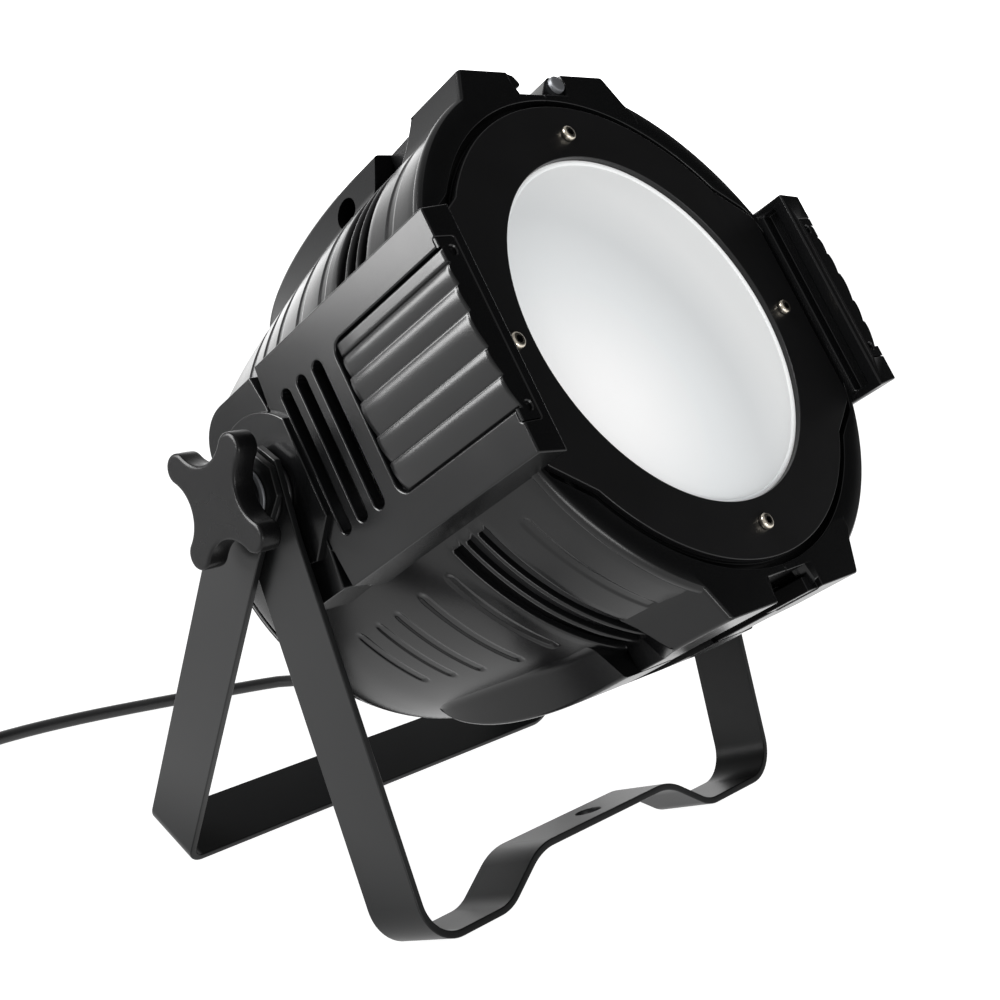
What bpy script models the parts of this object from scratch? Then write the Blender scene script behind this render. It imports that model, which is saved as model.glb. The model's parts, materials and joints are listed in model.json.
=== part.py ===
"""LED par can on a folding double-yoke stand, with its lead.

Units are metres, +Z up. The lamp faces -Y. The stand rests on z = 0.
The can is modelled in its own frame: x across, a along the optical axis
(positive towards the lens) and u up, with y = -a and z = u, and is then
hung on the tilt axis.
"""
import math

import bmesh
import bpy
from mathutils import Matrix, Vector

# ---------------------------------------------------------------- dimensions
MM = 0.001
TILT_DEG = 35.73          # lens points this far above the horizon
PIVOT_Y = 0.02132         # tilt axis, from the part's origin
PIVOT_Z = 0.18495
AXIS_DROP = 2.75          # can axis lies this far under the tilt axis
GAP = 0.3                 # clearance between touching pieces

LENS_R = 82.0             # visible lens radius
PLATE_R = 107.5           # front plate
BEZEL_IN = 111.0
BEZEL_R = 123.7
BEZEL_A = 118.2           # front plane of the bezel
BLOCK_W = 48.0            # half width of the top and bottom blocks
BLOCK_U = 125.0
PANEL_X = 127.3           # outer face of the side panels
PANEL_A = 134.8           # front of the side panels
PANEL_IN = 112.5
PANEL_U = 49.5
PANEL_REAR = 17.2         # seam between side panel and pivot plate
SPLIT = 0.15              # half of the gap between the two half shells

SCREW_PCR = 92.9          # front plate screws
BOSS_R = 32.5
BOSS_X = 130.1
BOSS_FLAT = 25.5

STRAP_W = 31.3
STRAP_T = 3.2
INNER_TOP = 135.8         # outer face of the inner strap at the tilt axis
OUTER_TOP = 141.4         # outer face of the outer strap
FRONT_SPLAY = 22.78       # front yoke: inner strap on the left, outer strap on the right
FRONT_LEG = 194.0
FRONT_BASE = (125.4, 125.4)
FRONT_RAISE = 17.0
REAR_SPLAY = 23.04        # rear yoke: outer strap on the left, inner strap on the right
REAR_LEG = 194.3
REAR_BASE = (129.8, 121.2)
BOLT_R = 5.0

CORD_D = 7.0
COIL_X, COIL_Y = -170.0, 317.0
COIL_IN, COIL_OUT = 30.5, 46.5
COIL_LOW, COIL_HIGH = 1.8, 23.5

SEG = 48                  # facets of a full turn on the can

# ---------------------------------------------------------------- scene reset
for _o in list(bpy.data.objects):
    bpy.data.objects.remove(_o, do_unlink=True)

SCENE = bpy.context.scene.collection


def material(name, colour, rough, metal=0.0, alpha=1.0):
    m = bpy.data.materials.new(name)
    m.use_nodes = True
    b = m.node_tree.nodes["Principled BSDF"]
    b.inputs["Base Color"].default_value = (*colour, 1.0)
    b.inputs["Roughness"].default_value = rough
    b.inputs["Metallic"].default_value = metal
    b.inputs["Alpha"].default_value = alpha
    m.diffuse_color = (*colour, alpha)
    return m


BLACK_CAST = ((0.035, 0.036, 0.038), 0.42, 0.0)
BLACK_STRAP = ((0.045, 0.047, 0.05), 0.48, 0.0)
BLACK_PLASTIC = ((0.03, 0.03, 0.03), 0.45, 0.0)
NICKEL = ((0.62, 0.58, 0.5), 0.28, 1.0)
STEEL = ((0.45, 0.45, 0.46), 0.38, 1.0)
ALU = ((0.75, 0.76, 0.78), 0.35, 1.0)
RUBBER = ((0.02, 0.02, 0.02), 0.6, 0.0)


# ---------------------------------------------------------------- mesh helpers
def mesh_object(name, verts, faces, scale=MM):
    me = bpy.data.meshes.new(name)
    me.from_pydata([(v[0] * scale, v[1] * scale, v[2] * scale) for v in verts], [], faces)
    bm = bmesh.new()
    bm.from_mesh(me)
    bmesh.ops.remove_doubles(bm, verts=bm.verts, dist=1e-7)
    bmesh.ops.recalc_face_normals(bm, faces=bm.faces)
    bm.to_mesh(me)
    bm.free()
    ob = bpy.data.objects.new(name, me)
    SCENE.objects.link(ob)
    return ob


def prism(name, outline, lo, hi, place):
    """Closed outline in (p, q), extruded from lo to hi; place(p, q, r) gives a point."""
    n = len(outline)
    verts = [place(p, q, lo) for p, q in outline] + [place(p, q, hi) for p, q in outline]
    faces = [list(range(n)), list(range(2 * n - 1, n - 1, -1))]
    faces += [[i, (i + 1) % n, n + (i + 1) % n, n + i] for i in range(n)]
    return mesh_object(name, verts, faces)


def along_a(p, q, r):      # outline (x, u), extruded along the optical axis
    return (p, -r, q)


def along_x(p, q, r):      # outline (a, u), extruded across
    return (r, -p, q)


def along_u(p, q, r):      # outline (x, a), extruded up
    return (p, -q, r)


def along_z(p, q, r):
    return (p, q, r)


def box(name, x0, x1, a0, a1, u0, u1):
    return prism(name, [(x0, u0), (x1, u0), (x1, u1), (x0, u1)], a0, a1, along_a)


def circle(cx, cy, r, n, start=0.0):
    return [(cx + r * math.cos(start + 2 * math.pi * i / n),
             cy + r * math.sin(start + 2 * math.pi * i / n)) for i in range(n)]


def rounded(x0, x1, y0, y1, r, n=4):
    pts = []
    for cx, cy, s in ((x1 - r, y1 - r, 0), (x0 + r, y1 - r, 1), (x0 + r, y0 + r, 2), (x1 - r, y0 + r, 3)):
        for i in range(n + 1):
            t = math.pi / 2 * (s + i / n)
            pts.append((cx + r * math.cos(t), cy + r * math.sin(t)))
    return pts


def ring(name, profile, seg=SEG, place=None, cx=0.0, cu=0.0):
    """Turned body from a closed profile of (r, a) with every r above zero."""
    place = place or (lambda r, t, a: (cx + r * math.cos(t), -a, cu + r * math.sin(t)))
    n = len(profile)
    verts, faces = [], []
    for k in range(seg):
        t = 2 * math.pi * (k + 0.5) / seg
        verts += [place(r, t, a) for r, a in profile]
    for k in range(seg):
        k2 = (k + 1) % seg
        for i in range(n):
            j = (i + 1) % n
            faces.append([k * n + i, k * n + j, k2 * n + j, k2 * n + i])
    return mesh_object(name, verts, faces)


def turned(name, profile, seg=24, place=None, cx=0.0, cu=0.0):
    """Turned body from an open profile of (r, a); its ends are closed with flat caps."""
    place = place or (lambda r, t, a: (cx + r * math.cos(t), -a, cu + r * math.sin(t)))
    n = len(profile)
    verts, faces = [], []
    for k in range(seg):
        t = 2 * math.pi * (k + 0.5) / seg
        verts += [place(r, t, a) for r, a in profile]
    for k in range(seg):
        k2 = (k + 1) % seg
        for i in range(n - 1):
            faces.append([k * n + i, k * n + i + 1, k2 * n + i + 1, k2 * n + i])
    faces.append([k * n for k in range(seg)])
    faces.append([k * n + n - 1 for k in range(seg)])
    return mesh_object(name, verts, faces)


def about_x(cx_a=0.0, cx_u=0.0):
    """Place a turned profile (r, x) about an axis along X at (a, u)."""
    return lambda r, t, x: (x, -(cx_a + r * math.cos(t)), cx_u + r * math.sin(t))


def apply(ob):
    dg = bpy.context.evaluated_depsgraph_get()
    dg.update()
    me = bpy.data.meshes.new_from_object(ob.evaluated_get(dg))
    ob.modifiers.clear()
    ob.data = me
    return ob


def combine(ob, others, op):
    for other in others:
        mod = ob.modifiers.new("join", "BOOLEAN")
        mod.operation = op
        mod.solver = "EXACT"
        mod.object = other
        bpy.context.view_layer.update()
        apply(ob)
        bpy.data.objects.remove(other, do_unlink=True)
    return ob


def join(ob, *others):
    return combine(ob, others, "UNION")


def cut(ob, *others):
    return combine(ob, others, "DIFFERENCE")


def tidy(ob, dist=2e-6):
    bm = bmesh.new()
    bm.from_mesh(ob.data)
    bmesh.ops.remove_doubles(bm, verts=bm.verts, dist=dist)
    bmesh.ops.dissolve_degenerate(bm, edges=bm.edges, dist=1e-6)
    bmesh.ops.dissolve_limit(bm, angle_limit=math.radians(0.4), verts=bm.verts, edges=bm.edges)
    bmesh.ops.triangulate(bm, faces=[f for f in bm.faces if len(f.verts) > 4])
    bmesh.ops.recalc_face_normals(bm, faces=bm.faces)
    bm.to_mesh(ob.data)
    bm.free()
    return ob


def smooth(ob, angle=35.0):
    ob.data.shade_smooth()
    ob.data.set_sharp_from_angle(angle=math.radians(angle))
    return ob


def finish(ob, name, look, parent=None, alpha=1.0):
    ob.name = name
    ob.data.name = name
    ob.data.materials.clear()
    colour, rough, metal = look
    ob.data.materials.append(material(name + "_finish", colour, rough, metal, alpha))
    smooth(ob)
    if parent is not None:
        ob.parent = parent
    return ob


def mirrored(ob, name):
    me = ob.data.copy()
    me.transform(Matrix.Scale(-1, 4, Vector((1, 0, 0))))
    me.flip_normals()
    other = bpy.data.objects.new(name, me)
    SCENE.objects.link(other)
    return other


def empty(name, location, tilt=0.0, parent=None):
    e = bpy.data.objects.new(name, None)
    e.location = location
    e.rotation_euler = (tilt, 0.0, 0.0)
    e.parent = parent
    SCENE.objects.link(e)
    return e


TILT = math.radians(TILT_DEG)
stand = empty("stand_frame", (0, PIVOT_Y, PIVOT_Z))
can_pivot = empty("can_tilt_axis", (0, PIVOT_Y, PIVOT_Z), -TILT)
can = empty("can_frame", (0, 0, -AXIS_DROP * MM), 0.0, can_pivot)

# ---------------------------------------------------------------- half shells
OUTER = [(122.7, 118.2), (123.7, 117.2), (123.7, 114.0), (121.6, 113.2), (121.0, 95.0), (120.5, 60.0),
         (119.5, 36.0), (115.7, 0.0), (110.0, -41.0), (107.0, -57.0),
         (103.0, -73.0), (98.0, -83.0), (92.5, -91.0), (87.0, -96.5), (84.0, -98.0)]
INNER = [(72.0, -98.0), (72.0, -94.5), (83.0, -94.0), (94.0, -83.5), (99.5, -72.0), (106.3, -41.0),
         (112.2, 0.0), (116.0, 36.0), (117.3, 60.0), (117.6, 108.0), (117.6, 112.0), (88.2, 112.0),
         (88.2, 115.6), (BEZEL_IN, 115.6), (BEZEL_IN, 118.2)]
SLOTS = [(78.2, 73.0), (70.4, 65.2), (62.6, 57.4)]


def pad_outline(grow=0.0):
    """Side outline (a, u) of the pivot plate's pad."""
    r, g = 19.0, grow
    pts = [(PANEL_REAR - GAP - 0.3 + g, 47.6 + g)]
    for cx, cu, s in ((-10.0, 28.6, 1), (-10.0, -29.0, 2)):
        for i in range(6):
            t = math.pi / 2 * (s + i / 5)
            pts.append((cx + (r + g) * math.cos(t), cu + (r + g) * math.sin(t)))
    pts.append((PANEL_REAR - GAP - 0.3 + g, -48.0 - g))
    return pts


def boss_outline(grow=0.0, n=14):
    """D shape (a, u): arc over the top, flat front, cut-off lower corner."""
    r = BOSS_R + grow
    flat = BOSS_FLAT + grow
    cu = AXIS_DROP
    t0 = math.acos(flat / r)
    pts = []
    for i in range(n + 1):
        t = t0 + (math.pi * 1.42 - t0) * i / n
        pts.append((r * math.cos(t), cu + r * math.sin(t)))
    pts.append((9.3 + grow * 0.6, -33.3 - grow))
    pts.append((flat, -20.5 - grow * 0.5))
    return pts


def half_shell(name):
    """Left half: barrel, bezel, block halves, fin, keel and side panel."""
    s = ring(name, OUTER + INNER)
    keep = box("half", -200, -SPLIT, -150, 200, -200, 200)
    combine(s, [keep], "INTERSECT")
    for sg in (1, -1):
        end = -17.8 if sg > 0 else -15.3
        blk = prism("block", [(-SPLIT, sg * 104), (-SPLIT, sg * 114.3), (end, sg * 114.3), (end, sg * BLOCK_U),
                              (-BLOCK_W, sg * BLOCK_U), (-55.0, sg * 111.2), (-55.0, sg * 104)],
                    56.0, BEZEL_A, along_a)
        # behind its flank the block narrows towards the fin or keel
        cut(blk, prism("narrow", [(-70.0, 85.5), (-48.2, 85.5), (-38.3, 72.4), (-36.3, 50.0), (-70.0, 50.0)],
                       sg * 95, sg * 130, along_u))
        prof = [(50.0, 100.0), (57.5, BLOCK_U + 0.2)]
        for i in range(9):
            t = i / 8 * math.pi / 2
            prof.append((45.0 - 97.0 * math.sin(t), 93.2 + 32.0 * math.cos(t)))
        prof.append((-52.0, 86.0))
        keel = prism("keel", [(a, sg * u) for a, u in prof], -47.5, -SPLIT, along_x)
        join(s, blk, keel)
        hollow = prism("hollow", [(a, sg * u) for a, u in
                                  ((50.0, 90), (53.0, 121.0), (30.0, 121.0), (0.0, 117.5), (-25.0, 111.0), (-40.0, 100.0), (-40.0, 88))],
                       -43.5, -4.0, along_x)
        cut(s, hollow)
        front = prism("front_hollow", [(-44.0, sg * 100), (-44.0, sg * 121), (-22.0, sg * 121), (-22.0, sg * 100)],
                      84.0, 111.0, along_a)
        cut(s, front)
        cut(s, box("notch", -17.8 if sg > 0 else -15.3, 5.0, 92.0, 130.0, sg * 114.3, sg * 140.0))
    # side panel, first as a solid, then opened to the inside
    side = prism("panel", [(-101.0, 50.5), (-PANEL_IN, 51.0), (-PANEL_X, PANEL_U), (-PANEL_X, -PANEL_U),
                           (-PANEL_IN, -51.0), (-101.0, -50.5)], PANEL_REAR, 112.0, along_a)
    lip = prism("lip", [(-PANEL_IN, 51.0), (-PANEL_X, PANEL_U), (-PANEL_X, -PANEL_U), (-PANEL_IN, -51.0)],
                111.0, PANEL_A, along_a)
    join(s, side, lip)
    cut(s, box("cavity", -121.0, -70.0, PANEL_REAR + 3.5, 108.0, -46.0, 46.0))
    # bezel bore, then the openings for the tabs of the front plate
    cut(s, turned("bezel_bore", [(BEZEL_IN, 115.6), (BEZEL_IN, 140.0)], SEG))
    cut(s, prism("tab_seat", [(-60.0, 84.0), (-86.5, 67.6), (-108.0, 52.8), (-112.2, 49.0), (-112.2, -49.0),
                              (-108.0, -52.8), (-86.5, -67.6), (-60.0, -84.0)], 115.6, 121.0, along_a))
    # channel for a gel frame in the inner side of the lip
    cut(s, box("channel", -118.0, -100.0, 121.6, 128.4, -47.0, 47.0))
    # recess for the ridged insert
    cut(s, prism("recess", rounded(64.5, 150.0, -32.4, 33.6, 6.0), -140.0, -123.6 - 0.2, along_x))
    cut(s, box("cap_seat", -140.0, -117.4, 131.6, 150.0, -37.2, 37.2))
    # vent slots in the panel
    for ac in (29.9, 41.2, 52.5):
        cut(s, prism("slot", rounded(ac - 3.0, ac + 3.0, -31.0, 33.0, 2.98, 3), -140.0, -110.0, along_x))
    # vent slots round the barrel
    for hi, lo in SLOTS:
        for sg in (1, -1):
            arc = []
            t0, t1, n = math.radians(19.0), math.radians(61.0), 7
            for i in range(n + 1):
                t = t0 + (t1 - t0) * i / n
                arc.append((-124.5 * math.sin(t), sg * 124.5 * math.cos(t)))
            for i in range(n, -1, -1):
                t = t0 + (t1 - t0) * i / n
                arc.append((-112.0 * math.sin(t), sg * 112.0 * math.cos(t)))
            cut(s, prism("arc_slot", arc, lo, hi, along_a))
    # seat of the pivot plate
    cut(s, prism("pad_seat", pad_outline(GAP), -140.0, -90.0, along_x))
    cut(s, prism("boss_seat", boss_outline(0.8), -140.0, -90.0, along_x))
    return s


left = half_shell("left_half_shell")
right = mirrored(left, "right_half_shell")

# top latch: hook on the left block, knuckle with a pin on the right block
join(left, prism("hook", [(-20.0, 114.6), (-17.2, 114.6), (-16.4, 117.0), (-11.6, 119.0), (-11.2, 120.6),
                          (-13.4, 124.0), (-16.4, 124.9), (-20.0, 124.9)], 92.0, 117.4, along_a))
join(right, prism("knuckle", [(1.2, 112.0), (20.0, 112.0), (20.0, 124.9), (12.0, 124.9), (8.6, 122.0)],
                  88.0, 116.4, along_a))
cut(right, turned("pin_bore", [(4.3, 96.0), (4.3, 130.0)], 16, cx=13.0, cu=120.3))
# lower lug on the right block
cut(right, box("wider", 10.0, 18.5, 92.0, 130.0, -140.0, -114.3))
join(right, box("lug", 11.0, 20.0, 92.0, 115.5, -124.9, -118.3))
# access hole of the upper joining screw
cut(left, turned("screw_hole", [(6.9, -60.0), (6.9, -18.0)], 16, place=about_x(31.0, 112.5)))
cut(left, turned("screw_bore", [(2.6, -30.0), (2.6, 5.0)], 12, place=about_x(31.0, 112.5)))
post_l = turned("post", [(9.5, -22.0), (9.5, -SPLIT)], 16, place=about_x(31.0, 112.5))
cut(post_l, turned("post_bore", [(2.6, -30.0), (2.6, 5.0)], 12, place=about_x(31.0, 112.5)))
join(left, post_l)
join(right, turned("post", [(9.5, SPLIT), (9.5, 44.5)], 16, place=about_x(31.0, 112.5)))
cut(right, turned("post_bore", [(2.6, -2.0), (2.6, 22.0)], 12, place=about_x(31.0, 112.5)))
# seats of the front plate screws in the inner flange
for ob in (left, right):
    for k in range(4):
        t = math.pi / 2 * k
        cut(ob, turned("screw_seat", [(2.9, 105.0), (2.9, 118.0)], 12,
                       cx=SCREW_PCR * math.cos(t), cu=SCREW_PCR * math.sin(t)))
    for k in range(4):
        t = math.pi / 4 + math.pi / 2 * k
        cut(ob, turned("rear_seat", [(1.9, -92.0), (1.9, -100.0)], 10,
                       cx=77.5 * math.cos(t), cu=77.5 * math.sin(t)))
finish(tidy(left), "left_half_shell", BLACK_CAST, can)
finish(tidy(right), "right_half_shell", BLACK_CAST, can)

finish(turned("pin", [(3.4, 118.6), (4.0, 118.0), (4.0, 96.4)], 16, cx=13.0, cu=120.3),
       "gel_latch_pin", STEEL, can)
finish(turned("js", [(6.2, -23.0), (6.2, -22.3), (2.2, -22.3), (2.2, 18.0)], 12, place=about_x(31.0, 112.5)),
       "shell_joining_screw", STEEL, can)


# ---------------------------------------------------------------- ridged side inserts
def ridge_outline():
    """Cross section (x, u) of the insert: a crowned row of five ridges."""
    pts = []
    n = 40
    for i in range(n + 1):
        u = -31.8 + 64.8 * i / n
        c = 1.0 - ((u - 0.6) / 33.0) ** 2
        ph = (u + 31.8) / 64.8 * 5
        wave = abs(math.sin(math.pi * ph)) ** 0.8
        pts.append((-(125.2 + 2.6 * max(c, 0) + 2.0 * wave), u))
    pts += [(-123.9 - 0.2, 33.0), (-123.9 - 0.2, -31.8)]
    return pts


ins = prism("insert", ridge_outline(), 65.2, 131.3, along_a)
combine(ins, [prism("corners", rounded(65.2, 150.0, -31.8, 33.0, 6.2), -140.0, -110.0, along_x)], "INTERSECT")
cap = [(x, u) for x, u in ridge_outline()[:-2]]
cap = [(-127.0, -36.8), (-127.0, -32.2)] + cap + [(-127.0, 33.4), (-127.0, 36.8), (-117.8, 36.8), (-117.8, -36.8)]
join(ins, prism("cap", cap, 130.6 + 1.4, 134.5, along_a), box("neck", -126.0, -124.1, 130.0, 133.0, -30.0, 31.0))
cut(ins, turned("h1", [(2.0, 130.0), (2.0, 140.0)], 10, cx=-120.9, cu=33.2),
    turned("h2", [(2.0, 130.0), (2.0, 140.0)], 10, cx=-120.9, cu=-33.2))
tidy(ins)
ins_r = mirrored(ins, "right_ridge_panel")
finish(ins, "left_ridge_panel", BLACK_CAST, can)
finish(ins_r, "right_ridge_panel", BLACK_CAST, can)

# ---------------------------------------------------------------- pivot plates
plate = prism("pad", pad_outline(), -PANEL_X, -104.0, along_x)
cut(plate, prism("pad_hollow", [(11.0, 40.0), (-8.0, 40.0), (-24.0, 26.0), (-24.0, -26.0), (-8.0, -41.0), (11.0, -41.0)],
                 -121.5, -90.0, along_x))
join(plate, prism("boss", boss_outline(), -BOSS_X, -118.0, along_x))
cut(plate, turned("bore", [(BOLT_R + GAP, -140.0), (BOLT_R + GAP, -90.0)], 20, place=about_x(0.0, AXIS_DROP)))
tidy(plate)
plate_r = mirrored(plate, "right_pivot_plate")
finish(plate, "left_pivot_plate", BLACK_CAST, can)
finish(plate_r, "right_pivot_plate", BLACK_CAST, can)

# ---------------------------------------------------------------- front: plate, lens, seals, reflector
disc = []
for k in range(72):
    t = 2 * math.pi * k / 72
    disc.append((PLATE_R * math.cos(t), PLATE_R * math.sin(t)))
fp = prism("front_plate", disc, 116.0, 119.0, along_a)
for sg in (-1, 1):
    join(fp, prism("tab", [(sg * 70.0, 74.0), (sg * 84.8, 64.8), (sg * 106.0, 50.2), (sg * 109.2, 46.6), (sg * 109.2, -46.6),
                           (sg * 106.0, -50.2), (sg * 84.8, -64.8), (sg * 70.0, -74.0)], 116.0, 119.0, along_a))
cut(fp, turned("opening", [(LENS_R, 110.0), (LENS_R, 125.0)], 72))
for k in range(4):
    t = math.pi / 2 * k
    cut(fp, turned("hole", [(2.5, 110.0), (2.5, 125.0)], 12, cx=SCREW_PCR * math.cos(t), cu=SCREW_PCR * math.sin(t)))
finish(tidy(fp), "front_plate", ((0.02, 0.02, 0.021), 0.38, 0.0), can)

for k, nm in enumerate(("right", "top", "left", "bottom")):
    t = math.pi / 2 * k
    cx, cu = SCREW_PCR * math.cos(t), SCREW_PCR * math.sin(t)
    sc = turned("screw", [(2.9, 121.7), (3.5, 121.2), (3.5, 119.3), (2.1, 119.3), (2.1, 107.5)], 16, cx=cx, cu=cu)
    cut(sc, turned("socket", [(1.5, 119.9), (1.5, 123.0)], 6, cx=cx, cu=cu))
    finish(sc, "plate_screw_" + nm, NICKEL, can)

finish(turned("lens", [(87.0, 115.6), (87.6, 115.0), (87.6, 112.9), (87.0, 112.3)], 48), "diffuser_lens",
       ((0.86, 0.87, 0.87), 0.55, 0.0), can)
finish(ring("seal", [(87.6, 110.4), (87.6, 112.0), (83.0, 112.0), (83.0, 110.4)], 32), "lens_gasket", RUBBER, can)
finish(ring("refl", [(89.8, 108.6), (89.8, 110.1), (84.0, 110.1), (60.0, 84.0), (38.0, 62.5), (21.5, 51.4), (21.5, 50.4),
                     (23.0, 50.4), (40.0, 61.2), (62.0, 83.0), (85.5, 108.6)], 32), "reflector", ALU, can)

# ---------------------------------------------------------------- light engine, cooling, electronics
led = box("cob", -20.0, 20.0, 46.4, 48.6, -20.0, 20.0)
join(led, turned("phosphor", [(17.0, 49.6), (17.0, 48.0)], 24))
finish(tidy(led), "led_module", ((0.75, 0.62, 0.15), 0.5, 0.0), can)

fins = [(-61.5, 46.1), (-61.5, 12.0)]
for i in range(9):
    x = -61.5 + 15.0 * i
    if i:
        fins += [(x, 38.0), (x, 12.0)]
    fins += [(x + 3.0, 12.0)]
    if i < 8:
        fins += [(x + 3.0, 38.0)]
fins += [(61.5, 46.1)]
finish(prism("sink", fins, -56.0, 56.0, along_u), "heat_sink", ALU, can)

ff = prism("fan_frame", rounded(-46.0, 46.0, -46.0, 46.0, 5.0, 3), -16.0, 9.0, along_a)
cut(ff, turned("fan_bore", [(43.0, -12.5), (43.0, 15.0)], 32))
vane = turned("fan_out", [(43.0, -20.0), (43.0, -10.0)], 32)
cut(vane, turned("hub_keep", [(18.0, -25.0), (18.0, -5.0)], 20), box("sx", -60, 60, -25, -5, -2.0, 2.0),
    box("sz", -2.0, 2.0, -25, -5, -60, 60))
cut(ff, vane)
finish(tidy(ff), "fan_frame", BLACK_PLASTIC, can)
rot = turned("rotor", [(17.0, 7.0), (18.0, 6.0), (18.0, -11.6)], 20)
for k in range(7):
    t = 2 * math.pi * k / 7
    cs, sn = math.cos(t), math.sin(t)
    pts = []
    for rr, w in ((14.0, 6.0), (41.3, 9.0)):
        for dw, a in ((-1, -9.5), (1, 4.5)):
            for th in (-0.8, 0.8):
                px, pu = rr, dw * w + th
                pts.append((px * cs - pu * sn, -a, px * sn + pu * cs))
    bl = mesh_object("blade", pts, [(0, 1, 3, 2), (4, 6, 7, 5), (0, 2, 6, 4), (1, 5, 7, 3), (0, 4, 5, 1), (2, 3, 7, 6)])
    join(rot, bl)
finish(tidy(rot), "fan_rotor", BLACK_PLASTIC, can)

ps = prism("psu", rounded(-52.0, 52.0, 8.0, 62.0, 2.0, 1), -56.0, -22.0, along_a)
cut(ps, box("terminal", 30.0, 60.0, -60.0, -40.0, 4.0, 26.0))
finish(tidy(ps), "power_supply", ALU, can)
pcb = box("pcb", -50.0, 50.0, -60.0, -58.4, -58.0, -4.0)
join(pcb, box("c1", -44.0, -24.0, -58.9, -40.0, -52.0, -36.0), box("c2", -14.0, 2.0, -58.9, -46.0, -30.0, -16.0),
     turned("c3", [(7.0, -58.9), (7.0, -38.0)], 14, cx=26.0, cu=-28.0), box("c4", 12.0, 44.0, -58.9, -52.0, -54.0, -44.0))
finish(tidy(pcb), "driver_board", ((0.03, 0.16, 0.06), 0.5, 0.0), can)

# ---------------------------------------------------------------- rear cover and its fittings
COVER_A0, COVER_A1 = -101.4, -98.3
SOCKETS = ((-38.0, -34.0), (-2.0, -48.0))
GLAND = (56.0, AXIS_DROP)   # level with the tilt axis, so the sleeve points straight away from it
FUSE = (46.0, -42.0)
rc = turned("rear_cover", [(80.6, COVER_A0), (82.6, COVER_A0 + 1.2), (82.6, COVER_A1)], 48)
for i in range(5):
    u = 38.0 + 7.5 * i
    hw = math.sqrt(71.0 ** 2 - (u + 2.0) ** 2) - 3.0
    cut(rc, prism("grille", rounded(-hw, hw, u - 1.9, u + 1.9, 1.85, 2), -110.0, -90.0, along_a))
cut(rc, prism("window", rounded(-34.0, 34.0, -9.0, 27.0, 3.0, 3), -110.0, -90.0, along_a))
for cx, cu in SOCKETS:
    cut(rc, turned("socket_hole", [(11.6, -110.0), (11.6, -90.0)], 24, cx=cx, cu=cu))
cut(rc, turned("gland_hole", [(6.6, -110.0), (6.6, -90.0)], 16, cx=GLAND[0], cu=GLAND[1]))
cut(rc, turned("fuse_hole", [(6.6, -110.0), (6.6, -90.0)], 16, cx=FUSE[0], cu=FUSE[1]))
for k in range(4):
    t = math.pi / 4 + math.pi / 2 * k
    cut(rc, turned("hole", [(2.2, -110.0), (2.2, -90.0)], 10, cx=77.5 * math.cos(t), cu=77.5 * math.sin(t)))
finish(tidy(rc), "rear_cover", BLACK_CAST, can)

for k, nm in enumerate(("upper_right", "upper_left", "lower_left", "lower_right")):
    t = math.pi / 4 + math.pi / 2 * k
    cx, cu = 77.5 * math.cos(t), 77.5 * math.sin(t)
    sc = turned("cs", [(1.5, -91.0), (1.5, -101.7), (3.2, -101.7), (3.2, -103.0), (2.4, -103.8)], 12, cx=cx, cu=cu)
    finish(sc, "rear_screw_" + nm, STEEL, can)

cp = prism("panel", rounded(-33.6, 33.6, -8.6, 26.6, 2.8, 3), -101.6, -98.9, along_a)
join(cp, prism("flange", rounded(-37.0, 37.0, -12.0, 30.0, 3.0, 2), -99.2 + 1.3, -96.0, along_a),
     prism("mid", rounded(-33.0, 33.0, -8.0, 26.0, 2.6, 2), -100.0, -97.0, along_a))
cut(cp, box("display_seat", -17.3, 17.3, -110.0, -99.4, 9.7, 23.3))
BUTTONS = (("menu", -24.0), ("down", -8.0), ("up", 8.0), ("enter", 24.0))
for nm, cx in BUTTONS:
    cut(cp, turned("button_hole", [(3.8, -110.0), (3.8, -90.0)], 16, cx=cx, cu=0.0))
finish(tidy(cp), "control_panel", BLACK_PLASTIC, can)
finish(prism("display", rounded(-17.0, 17.0, 10.0, 23.0, 1.0, 2), -101.2, -99.7, along_a), "display_window",
       ((0.05, 0.01, 0.01), 0.15, 0.0), can)
for nm, cx in BUTTONS:
    b = turned("button", [(4.8, -93.2), (4.8, -95.2), (3.5, -95.2), (3.5, -103.0), (2.9, -103.6)], 16, cx=cx, cu=0.0)
    finish(b, nm + "_button", ((0.5, 0.5, 0.5), 0.5, 0.0), can)

for (cx, cu), nm in zip(SOCKETS, ("dmx_input_socket", "dmx_output_socket")):
    so = prism("flange", rounded(cx - 13.0, cx + 13.0, cu - 15.5, cu + 15.5, 2.0, 2), -103.8, -101.7, along_a)
    join(so, turned("barrel", [(11.2, -103.0), (11.2, -84.0)], 24, cx=cx, cu=cu))
    cut(so, turned("mouth", [(8.4, -110.0), (8.4, -92.0)], 20, cx=cx, cu=cu))
    finish(tidy(so), nm, BLACK_PLASTIC, can)

fu = turned("fuse", [(7.6, -111.0), (8.2, -110.2), (8.2, -101.7), (6.2, -101.7), (6.2, -86.0)], 16, cx=FUSE[0], cu=FUSE[1])
cut(fu, box("coin_slot", FUSE[0] - 6.0, FUSE[0] + 6.0, -114.0, -109.4, FUSE[1] - 0.8, FUSE[1] + 0.8))
finish(tidy(fu), "fuse_holder", BLACK_PLASTIC, can)

gl = turned("gland", [(6.2, -92.0), (6.2, -101.7), (11.0, -101.7), (11.0, -107.0), (8.6, -107.6), (8.6, -112.0),
                      (7.2, -113.0), (4.6, -138.0)], 12, cx=GLAND[0], cu=GLAND[1])
finish(gl, "cable_gland", BLACK_PLASTIC, can)

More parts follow.
